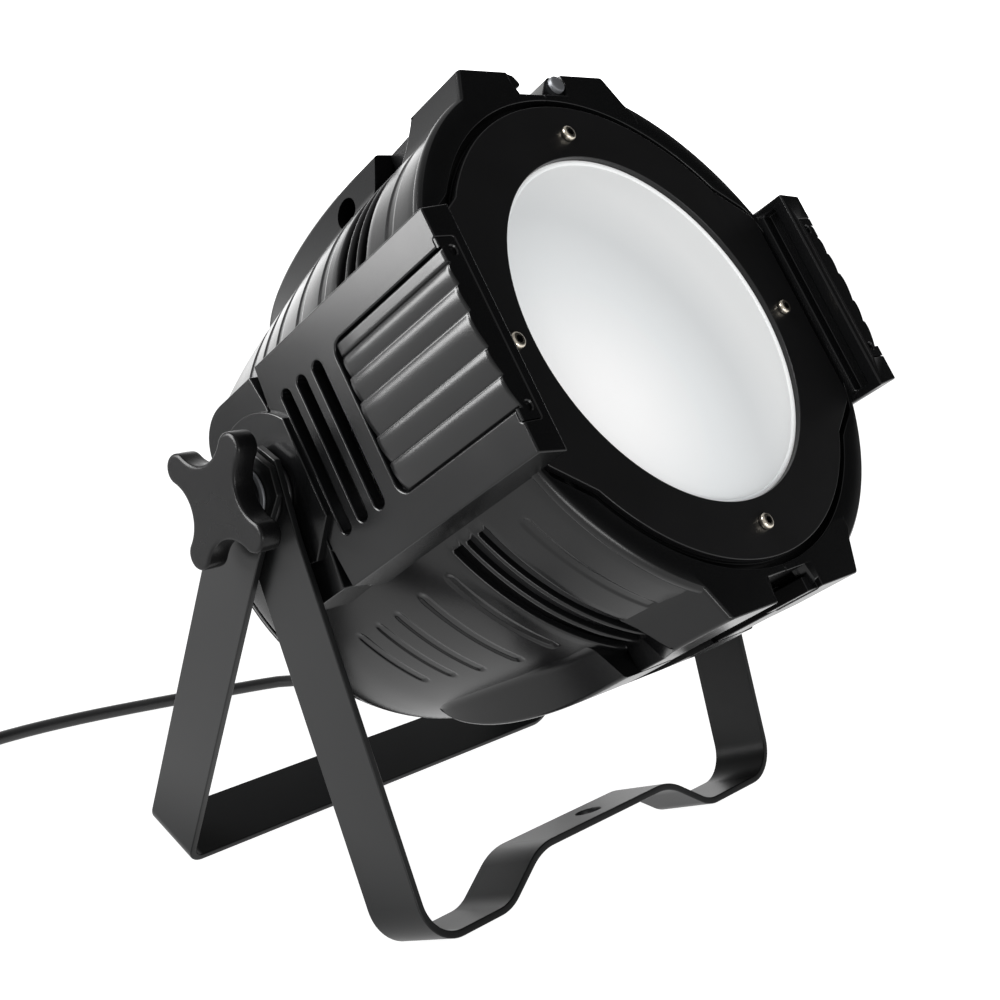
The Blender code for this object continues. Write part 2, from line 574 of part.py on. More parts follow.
# ---------------------------------------------------------------- pivot bolts, washers, knobs
for sg, nm in ((-1, "left"), (1, "right")):
    def px(x, s=sg):
        return lambda r, t, xx: (s * xx, r * math.cos(t), r * math.sin(t))
    place = px(0)
    bolt = turned("bolt", [(8.5, 111.0), (8.5, 117.6), (BOLT_R, 117.6), (BOLT_R, 158.0), (4.4, 158.6)], 18, place=place)
    finish(bolt, nm + "_pivot_bolt", STEEL, can_pivot)
    for wn, x0, x1, r in (("inner", 130.4, 132.2, 15.0), ("middle", 136.1, 137.9, 15.0), ("outer", 141.7, 143.1, 12.0)):
        w = ring("w", [(r, x0), (r, x1), (BOLT_R + GAP, x1), (BOLT_R + GAP, x0)], 18, place=place)
        finish(w, "%s_%s_washer" % (nm, wn), RUBBER if wn != "outer" else STEEL, can_pivot)

KNOB_TURN = math.radians(22.9 + TILT_DEG)


def knob(name, sg):
    n = 48
    out = []
    far, scallop, tip, soft = 31.5, 16.0, 28.2, 5.0
    for i in range(n):
        t = 2 * math.pi * i / n
        d = (t - KNOB_TURN) % (math.pi / 2) - math.pi / 4
        h = scallop ** 2 - (far * math.sin(d)) ** 2
        r = far * math.cos(d) - math.sqrt(h) if h > 0 else far * math.cos(d) + 3.0
        k = max(soft - abs(tip - r), 0.0) / soft
        out.append((t, min(tip, r) - k * k * soft / 4))
    levels = [(146.6, 0.80), (149.2, 0.965), (151.4, 1.0), (158.6, 1.0), (161.2, 0.955), (162.6, 0.84)]
    verts, faces = [], []
    for x, k in levels:
        verts += [(sg * x, r * k * math.cos(t), r * k * math.sin(t)) for t, r in out]
    m = len(levels)
    for j in range(m - 1):
        for i in range(n):
            i2 = (i + 1) % n
            faces.append([j * n + i, j * n + i2, (j + 1) * n + i2, (j + 1) * n + i])
    faces.append(list(range(n)))
    faces.append(list(range((m - 1) * n, m * n)))
    k = mesh_object(name, verts, faces)
    place = lambda r, t, xx: (sg * xx, r * math.cos(t), r * math.sin(t))
    join(k, turned("hub", [(10.5, 143.4), (11.5, 148.5)], 24, place=place))
    cut(k, turned("thread", [(BOLT_R + GAP, 140.0), (BOLT_R + GAP, 159.2)], 18, place=place))
    return finish(tidy(k), name, BLACK_PLASTIC, can_pivot)


knob("left_knob", -1)
knob("right_knob", 1)


# ---------------------------------------------------------------- yokes
def smooth_path(pts, radius, n=5):
    """Round the corners of an open polyline, each with its own radius."""
    out = [pts[0]]
    for i in range(1, len(pts) - 1):
        p0, p1, p2 = Vector(pts[i - 1]), Vector(pts[i]), Vector(pts[i + 1])
        d0, d1 = (p0 - p1).normalized(), (p2 - p1).normalized()
        ang = d0.angle(d1)
        r = radius[i - 1]
        back = r / math.tan(ang / 2)
        c = p1 + (d0 + d1).normalized() * (r / math.sin(ang / 2))
        s, e = p1 + d0 * back - c, p1 + d1 * back - c
        for k in range(n + 1):
            f = k / n
            v = (s * (1 - f) + e * f)
            out.append(tuple(c + v.normalized() * r))
    out.append(pts[-1])
    return out


def strap(name, path, splay, forward):
    """Bent strap. path holds the outer face as (x, L); L runs down the leg from the tilt axis."""
    n = len(path)
    inner = []
    for i in range(n):
        a = Vector(path[max(i - 1, 0)])
        b = Vector(path[min(i + 1, n - 1)])
        t = (b - a).normalized()
        if 0 < i < n - 1:
            t1 = (Vector(path[i]) - a).normalized()
            t2 = (b - Vector(path[i])).normalized()
            t = (t1 + t2).normalized()
            k = 1.0 / max(0.5, t.dot(t1))
        else:
            k = 1.0
        nrm = Vector((t.y, -t.x))
        inner.append(tuple(Vector(path[i]) + nrm * STRAP_T * k))
    outline = list(path) + inner[::-1]
    b = math.radians(splay)
    h = STRAP_W / 2

    def place(x, L, q):
        return (x, forward * (L * math.sin(b) + q * math.cos(b)), -L * math.cos(b) + q * math.sin(b))
    ob = prism(name, outline, -h, h, place)
    return ob, place


def corner_cut(place, sg, x0, x1, top):
    """Cut both corners off a strap end at the top of a leg."""
    cs = []
    for q in (-1, 1):
        h = STRAP_W / 2
        pts = [(q * (h - 8.0), top - 0.02), (q * (h + 2.0), top + 10.02), (q * (h + 2.0), top - 4.0), (q * (h - 8.0), top - 4.0)]
        cs.append(prism("clip", pts, sg * x0, sg * x1, lambda p, L, x: place(x, L, p)))
    return cs


def yoke(name, tops, bases, leg, splay, forward, mid, bend):
    """tops and bases hold the outer faces of the left and right leg at the tilt axis and at the base."""
    top = -18.0
    pts, rad = [], []
    for sg, xt, xb in ((-1, tops[0], bases[0]), (1, tops[1], bases[1])):
        half = [(sg * xt, top), (sg * xt, 22.0), (sg * xb, leg)]
        r = [60.0, bend]
        if mid:
            half += [(sg * 77.0, leg), (sg * 51.0, leg - mid)]
            r += [16.0, 16.0]
        pts += half if sg < 0 else half[::-1]
        rad += r if sg < 0 else r[::-1]
    path = smooth_path(pts, rad)
    ob, place = strap(name, path, splay, forward)
    for sg, xt in ((-1, tops[0]), (1, tops[1])):
        cut(ob, *corner_cut(place, sg, xt - 12.0, xt + 8.0, top))
        cut(ob, turned("eye", [(BOLT_R + 0.4, xt - 15.0), (BOLT_R + 0.4, xt + 10.0)], 20,
                       place=lambda r, t, x, s=sg: (s * x, r * math.cos(t), r * math.sin(t))))
    return ob, place


fy, fplace = yoke("front_yoke", (INNER_TOP, OUTER_TOP), FRONT_BASE, FRONT_LEG, FRONT_SPLAY, -1, FRONT_RAISE, 20.0)
cut(fy, turned("clamp_hole", [(6.2, FRONT_LEG - 40.0), (6.2, FRONT_LEG + 5.0)], 20,
               place=lambda r, t, L: fplace(r * math.cos(t), L, r * math.sin(t))))
finish(tidy(fy), "front_yoke", BLACK_STRAP, stand)
ry, rplace = yoke("rear_yoke", (OUTER_TOP, INNER_TOP), REAR_BASE, REAR_LEG, REAR_SPLAY, 1, 0.0, 9.0)
finish(tidy(ry), "rear_yoke", BLACK_STRAP, stand)


# ---------------------------------------------------------------- lead, coil and plug
def can_point(x, a, u):
    ct, st = math.cos(TILT), math.sin(TILT)
    u = u - AXIS_DROP
    return Vector((x, PIVOT_Y / MM + (-a * ct + u * st), PIVOT_Z / MM + (a * st + u * ct)))


def spline(points, step):
    """Points at even spacing on a smooth curve through the route's own points."""
    pts = [Vector(p) for p in points]
    ext = [pts[0] * 2 - pts[1]] + pts + [pts[-1] * 2 - pts[-2]]
    fine = []
    for i in range(1, len(ext) - 2):
        p0, p1, p2, p3 = ext[i - 1], ext[i], ext[i + 1], ext[i + 2]
        d0, d1, d2 = (p1 - p0).length ** 0.5, (p2 - p1).length ** 0.5, (p3 - p2).length ** 0.5
        m1 = (p1 - p0) / d0 - (p2 - p0) / (d0 + d1) + (p2 - p1) / d1
        m2 = (p2 - p1) / d1 - (p3 - p1) / (d1 + d2) + (p3 - p2) / d2
        for k in range(24):
            s = k / 24
            h = (2 * s ** 3 - 3 * s ** 2 + 1, s ** 3 - 2 * s ** 2 + s, -2 * s ** 3 + 3 * s ** 2, s ** 3 - s ** 2)
            fine.append(p1 * h[0] + m1 * d1 * h[1] + p2 * h[2] + m2 * d1 * h[3])
    fine.append(pts[-1])
    out = [fine[0]]
    total = sum((b - a).length for a, b in zip(fine, fine[1:]))
    n = max(2, round(total / step))
    want, run, k = total / n, 0.0, 1
    for a, b in zip(fine, fine[1:]):
        seg = (b - a).length
        while k < n and run + seg >= want * k - 1e-9:
            out.append(a.lerp(b, (want * k - run) / seg))
            k += 1
        run += seg
    out.append(fine[-1])
    return out


FLOOR = CORD_D / 2 + 0.3
g0 = can_point(GLAND[0], -138.0 - GAP, GLAND[1])
PY = PIVOT_Y / MM
TURN_R = 30.0             # bend on the floor
TURN_END = Vector((50.0, PY + 214.6, FLOOR))
TURN_OUT = math.radians(163.0)
TURN_C = TURN_END + TURN_R * Vector((-math.sin(TURN_OUT), math.cos(TURN_OUT), 0.0))
LAND = TURN_C + Vector((TURN_R, 0.0, 0.0))
out_dir = (can_point(0, -1, 0) - can_point(0, 0, 0)).normalized()


def bezier(p0, p1, p2, p3, n):
    return [p0 * (1 - t) ** 3 + p1 * 3 * (1 - t) ** 2 * t + p2 * 3 * (1 - t) * t * t + p3 * t ** 3
            for t in (i / n for i in range(n + 1))]


START = g0 + out_dir * 7.0
ROUTE = bezier(START, START + out_dir * 38.0, LAND - Vector((0, 64.0, 0)), LAND, 9)
for i in range(1, 6):
    t = TURN_OUT - math.pi / 2
    t = t * i / 5
    ROUTE.append(TURN_C + TURN_R * Vector((math.cos(t), math.sin(t), 0.0)))
ROUTE += [Vector((x, PY + y, FLOOR)) for x, y in ((18.0, 224.4), (-14.7, 233.9), (-52.9, 243.6), (-80.0, 248.6),
                                                 (-104.0, 251.0))]
ENTRY = Vector((COIL_X + 8.0, COIL_Y - COIL_OUT - CORD_D / 2 - 0.35, FLOOR + 1.7))
ROUTE += [Vector((-131.0, PY + 249.5, FLOOR + 0.6)), ENTRY]

cv = bpy.data.curves.new("mains_cord", "CURVE")
cv.dimensions = "3D"
cv.bevel_depth = CORD_D / 2 * MM
cv.bevel_resolution = 2
cv.use_fill_caps = True
pts = [g0] + spline(ROUTE, 16.0)
sp = cv.splines.new("POLY")
sp.points.add(len(pts) - 1)
for p, v in zip(sp.points, pts):
    p.co = (v.x * MM, v.y * MM, v.z * MM, 1.0)
lead = bpy.data.objects.new("mains_cord", cv)
SCENE.objects.link(lead)
cv.materials.append(material("mains_cord_finish", *RUBBER))

flat = lambda r, t, z: (COIL_X + r * math.cos(t), COIL_Y + r * math.sin(t), z)
c = 3.0
finish(ring("coil", [(COIL_OUT, COIL_LOW + c), (COIL_OUT, COIL_HIGH - c), (COIL_OUT - c, COIL_HIGH), (COIL_IN + c, COIL_HIGH),
                     (COIL_IN, COIL_HIGH - c), (COIL_IN, COIL_LOW + c), (COIL_IN + c, COIL_LOW), (COIL_OUT - c, COIL_LOW)],
            32, place=flat), "cord_coil", RUBBER)

# tie: a closed band round the bundle
TIE = math.radians(165.0)
o0, o1, i0, i1 = COIL_OUT + 1.7, COIL_IN - 2.6, COIL_OUT + 0.5, COIL_IN - 1.3


def band(p, q, r):
    return (COIL_X + p * math.cos(TIE) - r * math.sin(TIE), COIL_Y + p * math.sin(TIE) + r * math.cos(TIE), q)


tie = prism("tie", rounded(o1, o0, 0.2, COIL_HIGH + 1.6, 3.0, 2), -6.0, 6.0, band)
cut(tie, prism("inside", rounded(i1, i0, 1.4, COIL_HIGH + 0.4, 1.6, 2), -20.0, 20.0, band))
finish(tidy(tie), "cord_tie", RUBBER)

# plug lies against the coil on the far side
PLUG_AT = Vector((COIL_X - 8.0, COIL_Y + COIL_OUT + 4.2, 9.0))


def plug_place(p, q, r):      # p across, q along (towards the pins), r up
    return (PLUG_AT.x + q, PLUG_AT.y + p, PLUG_AT.z + r)


pl_pts = [(-3.6, 0.0), (3.6, 0.0), (5.2, 14.0), (12.5, 24.0), (13.0, 40.0), (12.0, 43.0), (-1.0, 43.0), (-2.6, 40.0), (-3.2, 24.0), (-3.6, 14.0)]
pl = prism("plug", pl_pts, -6.5, 6.5, lambda p, q, r: plug_place(p, q, r))
for off in (0.4, 9.6):
    join(pl, turned("pin", [(2.4, 40.0), (2.4, 60.0), (1.4, 62.0)], 12,
                    place=lambda r, t, q, o=off: plug_place(o + r * math.cos(t), q, r * math.sin(t))))
finish(tidy(pl), "mains_plug", BLACK_PLASTIC)

bpy.context.view_layer.update()
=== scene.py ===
"""Visual model of the par can: fine meshes, finishes, studio and camera."""
import json
import math

import bmesh
import bpy
from mathutils import Matrix, Vector

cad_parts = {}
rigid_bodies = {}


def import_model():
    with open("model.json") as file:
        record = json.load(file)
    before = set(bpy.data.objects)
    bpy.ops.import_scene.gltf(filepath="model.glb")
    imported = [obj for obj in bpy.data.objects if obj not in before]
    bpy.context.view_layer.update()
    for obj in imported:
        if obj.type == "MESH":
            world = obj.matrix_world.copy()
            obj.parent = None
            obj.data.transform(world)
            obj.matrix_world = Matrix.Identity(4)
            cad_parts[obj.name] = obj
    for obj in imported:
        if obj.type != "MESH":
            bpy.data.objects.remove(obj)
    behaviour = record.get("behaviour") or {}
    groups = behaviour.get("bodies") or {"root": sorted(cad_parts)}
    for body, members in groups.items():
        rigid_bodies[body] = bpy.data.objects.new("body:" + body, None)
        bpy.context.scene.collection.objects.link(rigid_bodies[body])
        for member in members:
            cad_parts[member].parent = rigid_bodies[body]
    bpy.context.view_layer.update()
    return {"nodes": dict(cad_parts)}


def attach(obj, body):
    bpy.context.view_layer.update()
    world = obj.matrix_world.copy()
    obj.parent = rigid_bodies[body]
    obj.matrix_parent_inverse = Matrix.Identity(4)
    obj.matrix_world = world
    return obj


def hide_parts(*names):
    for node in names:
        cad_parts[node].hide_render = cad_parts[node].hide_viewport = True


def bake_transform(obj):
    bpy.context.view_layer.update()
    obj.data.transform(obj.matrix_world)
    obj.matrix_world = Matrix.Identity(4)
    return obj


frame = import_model()

# ---------------------------------------------------------------- dimensions (mm unless noted)
MM = 0.001
TILT = math.radians(35.73)
PIVOT = Vector((0.0, 0.02132, 0.18495))      # metres
AXIS_DROP = 2.75
LENS_R, PLATE_R = 82.0, 107.5
BEZEL_IN, BEZEL_R, BEZEL_A = 111.0, 123.7, 118.2
BLOCK_U = 125.0
PANEL_X, PANEL_A, PANEL_IN, PANEL_U, PANEL_REAR = 127.3, 134.8, 112.5, 49.5, 17.2
SPLIT = 0.15
SCREW_PCR = 92.9
BOSS_R, BOSS_X, BOSS_FLAT = 32.5, 130.1, 25.5
STRAP_W, STRAP_T = 31.3, 3.2
INNER_TOP, OUTER_TOP = 135.8, 141.4
FRONT_SPLAY, FRONT_LEG, FRONT_BASE, FRONT_RAISE = 22.78, 194.0, (125.4, 125.4), 17.0
REAR_SPLAY, REAR_LEG, REAR_BASE = 23.04, 194.3, (129.8, 121.2)
BOLT_R = 5.0
GLAND = (56.0, AXIS_DROP)
CORD_D = 7.0
COIL_X, COIL_Y, COIL_IN, COIL_OUT, COIL_HIGH = -170.0, 317.0, 30.5, 46.5, 23.5

SCENE = bpy.context.scene.collection
AT_PIVOT = Matrix.Translation(PIVOT) @ Matrix.Rotation(-TILT, 4, "X")
AT_CAN = AT_PIVOT @ Matrix.Translation((0, 0, -AXIS_DROP * MM))
AT_STAND = Matrix.Translation(PIVOT)
AT_ROW = Matrix.Identity(4)


# ---------------------------------------------------------------- mesh helpers
def mesh_object(name, verts, faces, weld=1e-7):
    me = bpy.data.meshes.new(name)
    me.from_pydata([(v[0] * MM, v[1] * MM, v[2] * MM) for v in verts], [], faces)
    bm = bmesh.new()
    bm.from_mesh(me)
    bmesh.ops.remove_doubles(bm, verts=bm.verts, dist=weld)
    bmesh.ops.recalc_face_normals(bm, faces=bm.faces)
    bm.to_mesh(me)
    bm.free()
    ob = bpy.data.objects.new(name, me)
    SCENE.objects.link(ob)
    return ob


def prism(name, outline, lo, hi, place):
    n = len(outline)
    verts = [place(p, q, lo) for p, q in outline] + [place(p, q, hi) for p, q in outline]
    faces = [list(range(n)), list(range(2 * n - 1, n - 1, -1))]
    faces += [[i, (i + 1) % n, n + (i + 1) % n, n + i] for i in range(n)]
    return mesh_object(name, verts, faces)


def loft(name, rings):
    """Rings of (x, a, u) with equal counts, closed with caps."""
    n = len(rings[0])
    verts = [(x, -a, u) for r in rings for x, a, u in r]
    faces = [list(range(n)), list(range(len(verts) - n, len(verts)))]
    for k in range(len(rings) - 1):
        for i in range(n):
            j = (i + 1) % n
            faces.append([k * n + i, k * n + j, (k + 1) * n + j, (k + 1) * n + i])
    return mesh_object(name, verts, faces)


def along_a(p, q, r):
    return (p, -r, q)


def along_x(p, q, r):
    return (r, -p, q)


def along_u(p, q, r):
    return (p, -q, r)


def box(name, x0, x1, a0, a1, u0, u1):
    return prism(name, [(x0, u0), (x1, u0), (x1, u1), (x0, u1)], a0, a1, along_a)


def rounded(x0, x1, y0, y1, r, n=8):
    pts = []
    for cx, cy, s in ((x1 - r, y1 - r, 0), (x0 + r, y1 - r, 1), (x0 + r, y0 + r, 2), (x1 - r, y0 + r, 3)):
        for i in range(n + 1):
            t = math.pi / 2 * (s + i / n)
            pts.append((cx + r * math.cos(t), cy + r * math.sin(t)))
    return pts


def ring(name, profile, seg=192, place=None, cx=0.0, cu=0.0):
    place = place or (lambda r, t, a: (cx + r * math.cos(t), -a, cu + r * math.sin(t)))
    n = len(profile)
    verts, faces = [], []
    for k in range(seg):
        t = 2 * math.pi * (k + 0.5) / seg
        verts += [place(r, t, a) for r, a in profile]
    for k in range(seg):
        k2 = (k + 1) % seg
        for i in range(n):
            j = (i + 1) % n
            faces.append([k * n + i, k * n + j, k2 * n + j, k2 * n + i])
    return mesh_object(name, verts, faces)


def turned(name, profile, seg=64, place=None, cx=0.0, cu=0.0):
    place = place or (lambda r, t, a: (cx + r * math.cos(t), -a, cu + r * math.sin(t)))
    n = len(profile)
    verts, faces = [], []
    for k in range(seg):
        t = 2 * math.pi * (k + 0.5) / seg
        verts += [place(r, t, a) for r, a in profile]
    for k in range(seg):
        k2 = (k + 1) % seg
        for i in range(n - 1):
            faces.append([k * n + i, k * n + i + 1, k2 * n + i + 1, k2 * n + i])
    faces.append([k * n for k in range(seg)])
    faces.append([k * n + n - 1 for k in range(seg)])
    return mesh_object(name, verts, faces)


def about_x(a=0.0, u=0.0, sg=1):
    return lambda r, t, x: (sg * x, -(a + r * math.cos(t)), u + r * math.sin(t))


def apply(ob):
    dg = bpy.context.evaluated_depsgraph_get()
    dg.update()
    me = bpy.data.meshes.new_from_object(ob.evaluated_get(dg))
    ob.modifiers.clear()
    ob.data = me
    return ob


def combine(ob, others, op):
    for other in others:
        mod = ob.modifiers.new("join", "BOOLEAN")
        mod.operation = op
        mod.solver = "EXACT"
        mod.object = other
        bpy.context.view_layer.update()
        apply(ob)
        bpy.data.objects.remove(other, do_unlink=True)
    return ob


def join(ob, *others):
    return combine(ob, others, "UNION")


def cut(ob, *others):
    return combine(ob, others, "DIFFERENCE")


def clean(ob, limit=0.3):
    bm = bmesh.new()
    bm.from_mesh(ob.data)
    bmesh.ops.remove_doubles(bm, verts=bm.verts, dist=4e-6)
    bmesh.ops.dissolve_degenerate(bm, edges=bm.edges, dist=2e-6)
    bmesh.ops.dissolve_limit(bm, angle_limit=math.radians(limit), verts=bm.verts, edges=bm.edges)
    bmesh.ops.recalc_face_normals(bm, faces=bm.faces)
    bm.to_mesh(ob.data)
    bm.free()
    return ob


def soften(ob, width, seg=3, angle=38.0, tidy=True):
    """Round every hard edge and keep flat faces flat."""
    if tidy:
        clean(ob)
    ob.data.shade_smooth()
    m = ob.modifiers.new("round", "BEVEL")
    m.width = width * MM
    m.segments = seg
    m.limit_method = "ANGLE"
    m.angle_limit = math.radians(angle)
    m.use_clamp_overlap = False
    m.miter_outer = "MITER_ARC"
    w = ob.modifiers.new("normals", "WEIGHTED_NORMAL")
    w.keep_sharp = False
    w.weight = 60
    apply(ob)
    return ob


def smooth(ob, angle=40.0):
    ob.data.shade_smooth()
    ob.data.set_sharp_from_angle(angle=math.radians(angle))
    return ob


def mirrored(ob, name):
    me = ob.data.copy()
    me.transform(Matrix.Scale(-1, 4, Vector((1, 0, 0))))
    me.flip_normals()
    other = bpy.data.objects.new(name, me)
    SCENE.objects.link(other)
    return other


def put(ob, name, body, mat, slot, at, *nodes):
    """Move a finished mesh into the row frame, dress it and let it ride on its body."""
    ob.name = name
    ob.data.name = name
    ob.data.transform(at)
    ob.data.materials.clear()
    ob.data.materials.append(mat)
    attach(ob, body)
    if nodes:
        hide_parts(*nodes)
    return ob


def pair(ob, names, body, mat, slot, at, nodes):
    other = mirrored(ob, names[1])
    put(ob, names[0], body, mat, slot, at, nodes[0])
    put(other, names[1], body, mat, slot, at, nodes[1])
    return ob, other


def tint(ob, mat, at, test):
    """Give a second material to the faces whose centre and normal pass the test: a real finish, or painted shade."""
    inv = at.inverted()
    ob.data.materials.append(mat)
    k = len(ob.data.materials) - 1
    for f in ob.data.polygons:
        c = inv @ f.center / MM
        if test(c.x, -c.y, c.z, inv.to_3x3() @ f.normal):
            f.material_index = k
    return ob


def sstep(e0, e1, v):
    t = min(max((v - e0) / (e1 - e0), 0.0), 1.0)
    return t * t * (3 - 2 * t)


# ---------------------------------------------------------------- finishes
def finish_mat(name, colour, rough, metal=0.0, grain=1100.0, depth=0.00005, strength=0.30, spread=0.015, blotch=0.08,
               spec=0.5, coat=0.0):
    """Principled finish with fine surface grain, patchy gloss and slight tone changes."""
    m = bpy.data.materials.new(name)
    m.use_nodes = True
    nt = m.node_tree
    b = nt.nodes["Principled BSDF"]
    b.inputs["Metallic"].default_value = metal
    b.inputs["Specular IOR Level"].default_value = spec
    b.inputs["Coat Weight"].default_value = coat
    b.inputs["Coat Roughness"].default_value = 0.25
    tc = nt.nodes.new("ShaderNodeTexCoord")
    fine = nt.nodes.new("ShaderNodeTexNoise")
    fine.inputs["Scale"].default_value = grain
    fine.inputs["Detail"].default_value = 3.0
    fine.inputs["Roughness"].default_value = 0.55
    wide = nt.nodes.new("ShaderNodeTexNoise")
    wide.inputs["Scale"].default_value = 26.0
    wide.inputs["Detail"].default_value = 4.0
    nt.links.new(tc.outputs["Object"], fine.inputs["Vector"])
    nt.links.new(tc.outputs["Object"], wide.inputs["Vector"])
    ramp = nt.nodes.new("ShaderNodeValToRGB")
    lo = [c * (1 - blotch) for c in colour]
    hi = [min(1.0, c * (1 + blotch)) for c in colour]
    ramp.color_ramp.elements[0].position = 0.3
    ramp.color_ramp.elements[1].position = 0.7
    ramp.color_ramp.elements[0].color = (*lo, 1)
    ramp.color_ramp.elements[1].color = (*hi, 1)
    nt.links.new(wide.outputs["Fac"], ramp.inputs["Fac"])
    nt.links.new(ramp.outputs["Color"], b.inputs["Base Color"])
    mr = nt.nodes.new("ShaderNodeMapRange")
    mr.inputs["From Min"].default_value = 0.3
    mr.inputs["From Max"].default_value = 0.7
    mr.inputs["To Min"].default_value = max(0.02, rough - spread)
    mr.inputs["To Max"].default_value = min(1.0, rough + spread)
    nt.links.new(wide.outputs["Fac"], mr.inputs["Value"])
    nt.links.new(mr.outputs["Result"], b.inputs["Roughness"])
    bump = nt.nodes.new("ShaderNodeBump")
    bump.inputs["Strength"].default_value = strength
    bump.inputs["Distance"].default_value = depth
    nt.links.new(fine.outputs["Fac"], bump.inputs["Height"])
    nt.links.new(bump.outputs["Normal"], b.inputs["Normal"])
    m.diffuse_color = (*colour, 1)
    return m


CAST = finish_mat("satin_black_cast", (0.0028, 0.0029, 0.0031), 0.235, spec=0.31)
RIDGE = finish_mat("satin_black_ridges", (0.0032, 0.0033, 0.0035), 0.29, spec=0.46)
CAST_IN = finish_mat("inner_black_cast", (0.010, 0.010, 0.011), 0.62)
STRAP = finish_mat("satin_black_strap", (0.0036, 0.0038, 0.0040), 0.36, grain=1300.0, depth=0.00005, spec=0.32)
# painted shade: the strap reflects less near the floor, its Specular level rising with height, standing in for the
# shade at its feet
foot_shade_nodes = STRAP.node_tree
foot_shade_ramp = foot_shade_nodes.nodes.new("ShaderNodeMapRange")
foot_shade_ramp.interpolation_type = "SMOOTHSTEP"
for key, val in (("From Min", 0.006), ("From Max", 0.055), ("To Min", 0.13), ("To Max", 0.34)):
    foot_shade_ramp.inputs[key].default_value = val
axes = foot_shade_nodes.nodes.new("ShaderNodeSeparateXYZ")
foot_shade_nodes.links.new(next(n for n in foot_shade_nodes.nodes if n.type == "TEX_COORD").outputs["Object"], axes.inputs[0])
foot_shade_nodes.links.new(axes.outputs["Z"], foot_shade_ramp.inputs["Value"])
foot_shade_nodes.links.new(foot_shade_ramp.outputs["Result"], foot_shade_nodes.nodes["Principled BSDF"].inputs["Specular IOR Level"])
PLATE = finish_mat("black_front_plate", (0.0034, 0.0034, 0.0037), 0.34, spec=0.40, grain=1500.0, depth=0.00005, strength=0.25)
PLASTIC = finish_mat("black_plastic", (0.009, 0.009, 0.0095), 0.40, grain=2200.0, depth=0.00006)
KNOB_MAT = finish_mat("knob_plastic", (0.0030, 0.0030, 0.0032), 0.27, spec=0.20, grain=1700.0, depth=0.00012, strength=0.5)
GREY = finish_mat("grey_plastic", (0.30, 0.30, 0.31), 0.48, grain=2400.0, depth=0.00005)
NICKEL = finish_mat("nickel_screw", (0.72, 0.66, 0.56), 0.22, 1.0, grain=2500.0, depth=0.00002, strength=0.2, blotch=0.06)
ZINC = finish_mat("zinc_steel", (0.50, 0.50, 0.50), 0.34, 1.0, grain=1800.0, depth=0.00003, strength=0.25)
PIN = finish_mat("dark_zinc_pin", (0.16, 0.165, 0.175), 0.50, 0.6, grain=1800.0, depth=0.00004)
ALU = finish_mat("bare_aluminium", (0.74, 0.75, 0.77), 0.30, 1.0, grain=1200.0, depth=0.00003, strength=0.25, blotch=0.05)
RUBBER = finish_mat("black_rubber", (0.007, 0.007, 0.0073), 0.42, grain=1900.0, depth=0.00008)
PHOSPHOR = finish_mat("phosphor_yellow", (0.78, 0.60, 0.10), 0.5, grain=2000.0, depth=0.00003)
BOARD = finish_mat("board_green", (0.02, 0.13, 0.05), 0.42, grain=2500.0, depth=0.00004)
# painted shade: near-black for the insides of recesses where shade falls
PAINTED_SHADE = finish_mat("shadow_black", (0.0016, 0.0016, 0.0017), 0.75, spec=0.08, grain=1200.0)
COVER = finish_mat("black_rear_cover", (0.0040, 0.0040, 0.0042), 0.50, spec=0.26)
SEGMENT = finish_mat("display_segment", (0.10, 0.010, 0.009), 0.30, grain=300.0, depth=0.00001, strength=0.1)
SCREEN = finish_mat("display_dark_red", (0.045, 0.006, 0.006), 0.12, grain=300.0, depth=0.00001, strength=0.1, coat=0.6)


